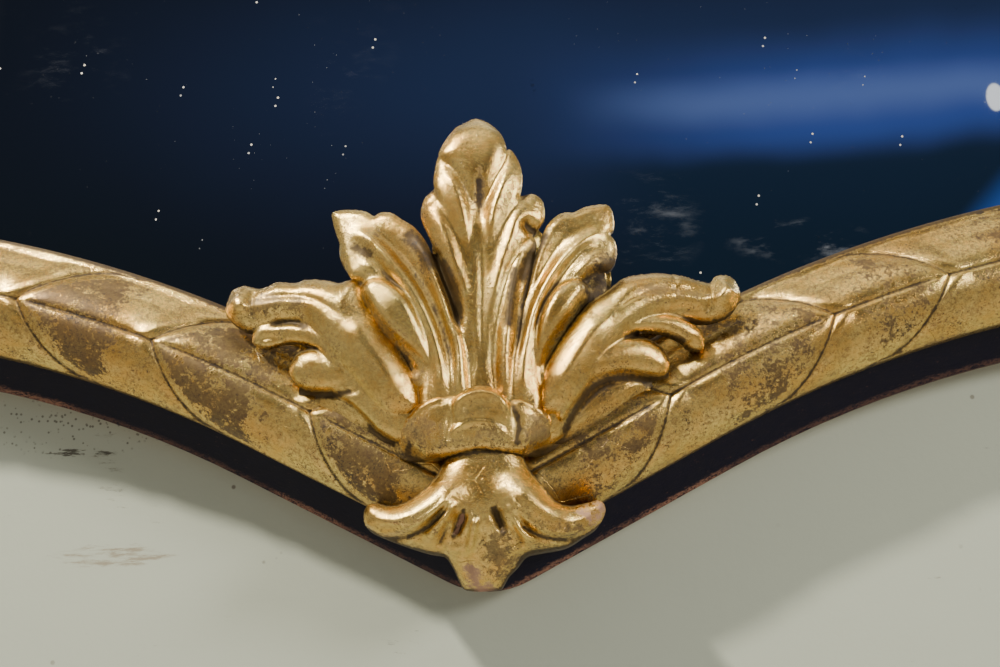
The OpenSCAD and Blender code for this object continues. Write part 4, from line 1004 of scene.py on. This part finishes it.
def old_wood(name, props, level_grain=True):
    """Softwood that has darkened behind the mirror."""
    f = Finish(name, Specular_IOR_Level=0.3)
    grain = f.streaks((25, 400, 400) if level_grain else (400, 400, 25), 8, 0.65)
    rings = f.node("ShaderNodeTexWave", {"bands_direction": "Z" if level_grain else "X"}, Scale=34.0,
                   Distortion=7.0, Detail=3.0, Vector=f.place, output="Fac")
    stain = f.noise(9, 5, 0.6)
    dust = f.noise(420, 3, 0.7)
    colour = f.mix(grain.band(0.3, 0.7), props.old_pine, props.old_pine_dark)
    colour = f.mix(rings * 0.35, colour, props.old_pine_dark)
    colour = f.mix(stain.band(0.45, 0.8) * 0.6, colour, props.old_pine_stain)
    colour = f.mix(dust.band(0.55, 0.8) * 0.25, colour, props.wood_dust)
    f.feed("Base Color", colour)
    f.feed("Roughness", (0.62 + grain * 0.2 + stain * 0.12).clamp())
    f.relief(grain * 0.5 + rings * 0.2 + dust * 0.1, 0.0006, 0.6)
    return f.material


def aged_metal(name, base, dull, rust, shine):
    """Metal that has dulled in the air, spotted with rust or verdigris and lightly scratched."""
    f = Finish(name, Specular_IOR_Level=0.5)
    mottle = f.noise(240, 5, 0.7)
    scratches = f.streaks((300, 2600, 2600), 3, 0.6)
    spots = f.noise(120, 4, 0.7).band(0.56, 0.72)
    colour = f.mix(mottle.band(0.35, 0.7), base, dull)
    f.feed("Base Color", f.mix(spots * 0.8, colour, rust))
    f.feed("Metallic", (1 - spots * 0.75).clamp())
    f.feed("Roughness", (shine + mottle * 0.25 + spots * 0.35).clamp())
    f.relief(mottle * 0.3 + scratches * 0.35 + spots * 0.3, 0.0002, 0.5)
    return f.material


def felt(name, props):
    """Pressed green felt."""
    f = Finish(name, Sheen_Weight=0.6, Sheen_Roughness=0.5, Specular_IOR_Level=0.15)
    fibres = f.noise(2600, 3, 0.7)
    tufts = f.noise(420, 4, 0.6)
    nap = (fibres * 0.6 + tufts * 0.4).band(0.35, 0.65)
    f.feed("Base Color", f.mix(nap, props.felt_dark, props.felt_light))
    f.feed("Roughness", (0.85 + fibres * 0.15).clamp())
    f.relief(fibres * 0.7 + tufts * 0.6, 0.0006, 0.8)
    return f.material


def sage_paint(name, props):
    """The wall's pale paint, with its scuffs and an old dark mark at the left below the frame."""
    f = Finish(name, Specular_IOR_Level=0.25, Roughness=0.75)
    tone = f.noise(5, 4)
    scuffs = (f.streaks((35, 35, 160), 6, 0.75) + f.noise(9, 3) * 0.6).band(0.98, 1.1)
    pits = (1 - f.cells(70).band(0.05, 0.1)) * f.noise(14, 2).band(0.55, 0.65)
    # A ragged dark line, specks above it and brown smears under it
    drag = f.streaks((55, 55, 420), 6, 0.75)
    line = (f.patch(*MARK_LINE) * 0.55 + drag * 1.5).band(1.24, 1.36)
    smears = (f.patch(*MARK_SMEARS) * 0.6 + drag * 1.5).band(1.22, 1.5)
    peppered = f.patch(*MARK_SPECKS).band(0, 0.5) * (1 - f.cells(420).band(0.16, 0.34))
    peppered = peppered * f.noise(120, 4).band(0.38, 0.55)
    colour = f.mix(tone.band(0.3, 0.7) * 0.25, props.wall, [c * 1.12 for c in props.wall])
    colour = f.mix((scuffs * 0.75).at_least(pits * 0.8), colour, props.scuffs)
    colour = f.mix(smears * 0.7, colour, props.smears)
    colour = f.mix(line.at_least(peppered * 0.8) * 0.9, colour, props.old_mark)
    f.feed("Base Color", colour)
    f.relief(f.noise(30, 5) * 0.6 + f.noise(240, 3) * 0.15 - scuffs * 0.3, 0.0012, 0.35)
    # From behind, the wall is clear and lets light through, so that the mirror's back can be looked at
    rear = f.node("ShaderNodeNewGeometry", {}, output="Backfacing")
    for ray in ("Is Shadow Ray", "Is Diffuse Ray"):
        rear = rear.at_least(f.node("ShaderNodeLightPath", {}, output=ray))
    clear = f.node("ShaderNodeBsdfTransparent", {}, (1, 1, 1, 1))
    both = f.node("ShaderNodeMixShader", {}, rear, Value(f, f.shader.outputs[0]), clear)
    f.tree.links.new(both.socket, f.tree.nodes["Material Output"].inputs["Surface"])
    return f.material


def pale_floor(name, props):
    """Plain floor, a little darker in places."""
    f = Finish(name, Specular_IOR_Level=0.3, Roughness=0.7)
    darker = [c * 0.85 for c in props.floor]
    f.feed("Base Color", f.mix(f.noise(3, 3).band(0.3, 0.7) * 0.2, props.floor, darker))
    return f.material


def glowing_room_reflection(name):
    """A glowing, painted reflection of the room: near black, a blue band high on the right, a paler floor."""
    f = Finish(name, Roughness=1.0, Specular_IOR_Level=0.0, Base_Color=(0, 0, 0, 1), Emission_Strength=1.0)
    x = f.axis("X")
    z = f.axis("Z") + (f.noise(1.3, 3) - 0.5) * 0.16
    haze = (1 - (z - 0.86).size().band(0.0, 0.55)) * x.band(-1.6, 0.3)
    green = (1 - x.band(-1.3, -0.5)) * (1 - z.band(0.1, 0.9))
    dusk = (1 - z.band(0.60, 0.70)) * x.band(0.0, 0.4)
    band = z.band(0.62, 0.72) * (1 - z.band(0.80, 1.02)) * x.band(-0.1, 0.8)
    streak = (1 - (z - 0.80).size().band(0.0, 0.09)) * x.band(0.05, 0.5)
    slant = (1 - (z - x * 0.9 + 0.62).size().band(0.0, 0.16)) * x.band(0.75, 1.1)
    # A painted reflection of a lamp, high on the right
    lamp_x, lamp_z = (x - 1.175) / 0.024, (z - 0.76) / 0.045
    lamp = 1 - (lamp_x * lamp_x + lamp_z * lamp_z).band(0.7, 1.0)
    colour = (0.010, 0.0125, 0.019)
    for factor, shade in ((haze, (0.021, 0.034, 0.085)),
                          (green * 0.7, (0.009, 0.013, 0.013)),
                          (dusk * 0.7, (0.008, 0.020, 0.036)),
                          (band * 0.85, (0.042, 0.080, 0.30)),
                          (streak * 0.4, (0.17, 0.24, 0.48)),
                          (slant * 0.8, (0.045, 0.14, 0.55)),
                          (lamp, (1.0, 1.0, 1.0))):
        colour = f.mix(factor, colour, shade)
    colour = f.mix(z.band(-0.15, 0.16), (0.50, 0.47, 0.42), colour)
    border = x.size().band(1.35, 1.85).at_least((z - 0.4).size().band(1.0, 1.45))
    f.feed("Emission Color", f.mix(border, colour, (0.40, 0.395, 0.385)))
    return f.material


# ---- sizes and colours that a user would change ----

def colour_property(name, description, rgb):
    return bpy.props.FloatVectorProperty(name=name, description=description, default=rgb, subtype="COLOR",
                                         size=3, min=0.0, max=1.0)


def grid_property(name, description, default):
    return bpy.props.FloatProperty(name=name, description=description, default=default, min=0.0003, max=0.003,
                                   unit="LENGTH", precision=5)


def power_property(name, description, default):
    return bpy.props.FloatProperty(name=name, description=description, default=default, min=0.0, unit="POWER")


class MirrorGilding(bpy.types.PropertyGroup):
    gold_deep: colour_property("Deep gold", "Leaf where it is oldest", (0.77, 0.445, 0.105))
    gold_pale: colour_property("Pale gold", "Leaf where it is cleanest", (1.0, 0.735, 0.228))
    gold_rubbed: colour_property("Rubbed gold", "Leaf rubbed thin over the clay", (0.35, 0.195, 0.068))
    worn_brown: colour_property("Worn brown", "The middle of each laurel leaf", (0.082, 0.046, 0.021))
    bole: colour_property("Bole", "The red clay under the leaf", (0.36, 0.13, 0.06))
    # The gesso colour also paints the highlight along the carved tips' edges
    gesso: colour_property("Gesso", "Bare ground at the edges", (0.62, 0.58, 0.52))
    clay: colour_property("Pink clay", "Ground where the tongue and a wing are rubbed", (0.46, 0.25, 0.16))
    specks: colour_property("Specks", "Fine black specks", (0.012, 0.008, 0.006))
    # Dark brown of the hollows: old dirt, and painted shade
    dirt_and_shade: colour_property("Dirt", "Old dirt in the hollows", (0.030, 0.016, 0.007))
    carving_step: grid_property("Carving grid", "Grid of the lower ornament's relief", 0.0006)
    far_carving_step: grid_property("Upper carving grid", "Grid of the upper ornament's relief", 0.0009)
    moulding_step: grid_property("Moulding grid", "Spacing along the moulding", 0.0008)


class MirrorCarcass(bpy.types.PropertyGroup):
    black_deep: colour_property("Deep black", "Paint on the splayed edge", (0.0060, 0.0050, 0.0150))
    black_rubbed: colour_property("Rubbed black", "Paint where it has been rubbed", (0.010, 0.0085, 0.016))
    arris_brown: colour_property("Worn arris", "Wood showing along the outer arris", (0.31, 0.155, 0.095))
    bole: colour_property("Red ground", "Chips in the paint", (0.16, 0.06, 0.04))
    old_pine: colour_property("Old pine", "Bare wood on the back", (0.36, 0.21, 0.10))
    old_pine_dark: colour_property("Dark grain", "Grain of the bare wood", (0.19, 0.095, 0.040))
    old_pine_stain: colour_property("Stain", "Damp and dust on the bare wood", (0.11, 0.065, 0.035))
    wood_dust: colour_property("Wood dust", "Dust on the backboards", (0.30, 0.27, 0.23))
    felt_dark: colour_property("Dark felt", "Wall pads", (0.020, 0.045, 0.020))
    felt_light: colour_property("Light felt", "Fibres of the wall pads", (0.06, 0.11, 0.05))


class MirrorPlate(bpy.types.PropertyGroup):
    silver: colour_property("Silvering", "What the old plate reflects", (0.80, 0.84, 0.88))
    dust: colour_property("Dust", "Specks on the glass", (0.72, 0.62, 0.42))
    foxing: colour_property("Foxing", "Brown spots in the silvering", (0.09, 0.07, 0.05))
    backing_paint: colour_property("Backing paint", "Paint over the silvering", (0.13, 0.09, 0.07))


class MirrorFittings(bpy.types.PropertyGroup):
    brass: colour_property("Brass", "Straps, rings and their screws", (0.42, 0.27, 0.09))
    brass_dull: colour_property("Dull brass", "Brass that has dulled in the air", (0.22, 0.14, 0.055))
    verdigris: colour_property("Verdigris", "Spots on the brass", (0.06, 0.05, 0.03))
    steel: colour_property("Steel", "Screws of the boards and ornaments", (0.30, 0.29, 0.28))
    steel_dull: colour_property("Dull steel", "Steel that has dulled in the air", (0.16, 0.15, 0.14))
    rust: colour_property("Rust", "Spots on the steel", (0.16, 0.06, 0.025))


class MirrorStage(bpy.types.PropertyGroup):
    wall: colour_property("Wall", "Pale sage paint", (0.485, 0.515, 0.40))
    scuffs: colour_property("Scuffs", "Scuffs and pits in the wall's paint", (0.15, 0.12, 0.085))
    smears: colour_property("Smears", "Brown smears on the wall", (0.26, 0.19, 0.115))
    old_mark: colour_property("Old mark", "The dark line on the wall", (0.075, 0.065, 0.045))
    floor: colour_property("Floor", "Plain pale floor", (0.62, 0.60, 0.56))
    key_power: power_property("Key light", "Small light from the upper left", 44.0)
    fill_power: power_property("Fill light", "Soft light from the right", 15.0)
    sky: bpy.props.FloatProperty(name="Sky", description="Strength of the even light", default=0.40, min=0.0)


def settings(name):
    return getattr(bpy.context.scene, name)


def dress(nodes, material):
    """Gives carried-over pieces of the part their finish."""
    for node in nodes:
        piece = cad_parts[node]
        piece.data.materials.clear()
        piece.data.materials.append(material)


# ---- operators ----

class MIRROR_OT_stage(bpy.types.Operator):
    """Sets the camera, the wall, the floor and the lights."""
    bl_idname = "mirror.stage"
    bl_label = "Stage, lights and camera"

    def execute(self, context):
        props = settings("mirror_stage")
        self.camera()
        self.surfaces(props)
        self.lights(props)
        return {"FINISHED"}

    def camera(self):
        """A camera before the cusp, looking a little up and to the left, leaning as the photo does."""
        sight = Vector((-np.sin(CAMERA_YAW) * np.cos(CAMERA_PITCH), np.cos(CAMERA_YAW) * np.cos(CAMERA_PITCH),
                        np.sin(CAMERA_PITCH)))
        right = Vector((np.cos(CAMERA_YAW), np.sin(CAMERA_YAW), 0))
        up = right.cross(sight)
        turn = Matrix.Rotation(PHOTO_LEAN, 3, "Y")
        data = bpy.data.cameras.new("camera")
        data.sensor_width = FILM_MM
        data.lens = LENS_PX / PHOTO_PX * FILM_MM
        data.clip_start = 0.01
        camera = bpy.data.objects.new("camera", data)
        place = Matrix((turn @ right, turn @ up, turn @ -sight)).transposed().to_4x4()
        place.translation = (CAMERA_X, PLATE_FRONT - CAMERA_AWAY, CUSP_TIP - CAMERA_BELOW)
        camera.matrix_world = place
        bpy.context.scene.collection.objects.link(camera)
        bpy.context.scene.camera = camera

    def surfaces(self, props):
        w, low, high = STAGE_HALF_W, FLOOR_Z, WALL_TOP
        wall = self.sheet("wall", [(-w, 0, low), (w, 0, low), (w, 0, high), (-w, 0, high)])
        wall.data.materials.append(sage_paint("sage_paint", props))
        floor = self.sheet("floor", [(-w, -w, low), (w, -w, low), (w, w, low), (-w, w, low)])
        floor.data.materials.append(pale_floor("floor_paint", props))
        w, y, low, high = ROOM_HALF_W, -ROOM_AWAY, ROOM_LOW, ROOM_HIGH
        room = self.sheet("glowing_room_reflection", [(w, y, low), (-w, y, low), (-w, y, high), (w, y, high)])
        room.data.materials.append(glowing_room_reflection("glowing_room_reflection"))
        # Hidden from the camera, diffuse light and shadows, the sheet only paints reflections
        for ray in ("visible_camera", "visible_diffuse", "visible_shadow", "visible_transmission"):
            setattr(room, ray, False)

    def sheet(self, name, corners):
        mesh = bpy.data.meshes.new(name)
        mesh.from_pydata(corners, [], [(0, 1, 2, 3)])
        piece = bpy.data.objects.new(name, mesh)
        bpy.context.scene.collection.objects.link(piece)
        return piece

    def lights(self, props):
        ornament = Vector((0.0, 0.0, -0.33))
        for name, place, aim, size, power, colour in (
                ("key", (-0.95, -0.95, 0.85), ornament, 0.12, props.key_power, (1.0, 0.95, 0.86)),
                ("fill", (1.25, -1.0, 0.15), ornament, 0.45, props.fill_power, (1.0, 0.98, 0.95)),
                ("top", (0.1, -0.9, 1.9), ornament, 1.3, props.fill_power * 0.3, (1.0, 0.99, 0.97)),
                ("back", (-0.8, 1.6, 1.0), Vector(), 1.0, props.fill_power * 0.6, (1.0, 1.0, 1.0))):
            data = bpy.data.lights.new(name, "AREA")
            data.shape = "DISK"
            data.size = size
            data.energy = power
            data.color = colour
            lamp = bpy.data.objects.new(name, data)
            lamp.location = place
            lamp.rotation_euler = (aim - Vector(place)).to_track_quat("-Z", "Y").to_euler()
            bpy.context.scene.collection.objects.link(lamp)
        world = bpy.data.worlds.new("even_light")
        world.use_nodes = True
        background = world.node_tree.nodes["Background"]
        background.inputs["Color"].default_value = (0.96, 0.95, 0.93, 1)
        background.inputs["Strength"].default_value = props.sky
        bpy.context.scene.world = world


class MIRROR_OT_ornaments(bpy.types.Operator):
    """Carves and gilds the two acanthus ornaments."""
    bl_idname = "mirror.ornaments"
    bl_label = "Carved ornaments"

    def execute(self, context):
        props = settings("mirror_gilding")
        gilt = gilding("gilt_carving", props, carved=True)
        for end, top, step in (("bottom", False, props.carving_step), ("top", True, props.far_carving_step)):
            for part, (relief, foot, thickness) in CARVINGS.items():
                carving = relief(step / MM)
                piece = carved_piece(f"{end}_{part}_carving", carving, top, foot, thickness, gilt)
                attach(piece, "frame")
                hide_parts(f"{end}_{part}")
        return {"FINISHED"}


class MIRROR_OT_moulding(bpy.types.Operator):
    """Makes the laurel-leaf moulding, one piece for each length of the frame."""
    bl_idname = "mirror.moulding"
    bl_label = "Laurel moulding"

    def execute(self, context):
        props = settings("mirror_gilding")
        gilt = gilding("gilt_moulding", props, carved=False)
        step = props.moulding_step / MM
        upper = QUARTER_RUN + SIDE_RUN
        for hand in ("left", "right"):
            for length, start, end, spacing in (("bottom", BAND_START, QUARTER_RUN, step),
                                                ("side", QUARTER_RUN, upper, 2 * step),
                                                ("top", upper, HALF_LOOP - BAND_START, 2 * step)):
                piece = moulding_piece(f"{length}_{hand}_laurel", start, end, hand, spacing, gilt)
                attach(piece, "frame")
                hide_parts(f"moulding_{length}_{hand}")
        return {"FINISHED"}


class MIRROR_OT_carcass(bpy.types.Operator):
    """Finishes the carcass and what is behind it."""
    bl_idname = "mirror.carcass"
    bl_label = "Carcass and backing"

    def execute(self, context):
        props = settings("mirror_carcass")
        dress([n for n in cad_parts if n.startswith("carcass_")], black_edge("ebonised_pine", props))
        dress(["backboard_left", "backboard_centre", "backboard_right"], old_wood("backboard_pine", props))
        dress(["joint_splines", "glazing_blocks"], old_wood("softwood", props, level_grain=False))
        return {"FINISHED"}


class MIRROR_OT_plate(bpy.types.Operator):
    """Silvers the plate."""
    bl_idname = "mirror.plate"
    bl_label = "Mirror plate"

    def execute(self, context):
        dress(["mirror_plate"], old_plate("silvered_glass", settings("mirror_plate")))
        return {"FINISHED"}


class MIRROR_OT_fittings(bpy.types.Operator):
    """Finishes the hangers, screws and wall pads."""
    bl_idname = "mirror.fittings"
    bl_label = "Hangers, screws and pads"

    def execute(self, context):
        props = settings("mirror_fittings")
        brass = aged_metal("aged_brass", props.brass, props.brass_dull, props.verdigris, 0.30)
        steel = aged_metal("steel_screws", props.steel, props.steel_dull, props.rust, 0.35)
        dress(["strap_left", "strap_right", "ring_left", "ring_right", "hanger_screws"], brass)
        dress(["backboard_screws", "ornament_screws"], steel)
        dress(["wall_pads"], felt("felt", settings("mirror_carcass")))
        return {"FINISHED"}


GROUPS = {"mirror_gilding": MirrorGilding, "mirror_carcass": MirrorCarcass, "mirror_plate": MirrorPlate,
          "mirror_fittings": MirrorFittings, "mirror_stage": MirrorStage}
OPERATORS = (MIRROR_OT_stage, MIRROR_OT_ornaments, MIRROR_OT_moulding, MIRROR_OT_carcass, MIRROR_OT_plate,
             MIRROR_OT_fittings)


class MIRROR_PT_pieces(bpy.types.Panel):
    """The mirror's pieces, in the order in which they are made."""
    bl_label = "Overmantel mirror"
    bl_idname = "MIRROR_PT_pieces"
    bl_space_type = "VIEW_3D"
    bl_region_type = "UI"
    bl_category = "Mirror"

    def draw(self, context):
        for name in GROUPS:
            group = settings(name)
            box = self.layout.box()
            for prop in group.bl_rna.properties:
                if prop.identifier not in ("name", "rna_type"):
                    box.prop(group, prop.identifier)
        for operator in OPERATORS:
            self.layout.operator(operator.bl_idname)


CLASSES = (*GROUPS.values(), *OPERATORS, MIRROR_PT_pieces)


def register():
    for item in CLASSES:
        bpy.utils.register_class(item)
    for name, group in GROUPS.items():
        setattr(bpy.types.Scene, name, bpy.props.PointerProperty(type=group))


def unregister():
    for name in GROUPS:
        delattr(bpy.types.Scene, name)
    for item in reversed(CLASSES):
        bpy.utils.unregister_class(item)


def main():
    register()
    for operator in OPERATORS:
        family, action = operator.bl_idname.split(".")
        getattr(getattr(bpy.ops, family), action)()


if __name__ == "__main__":
    main()
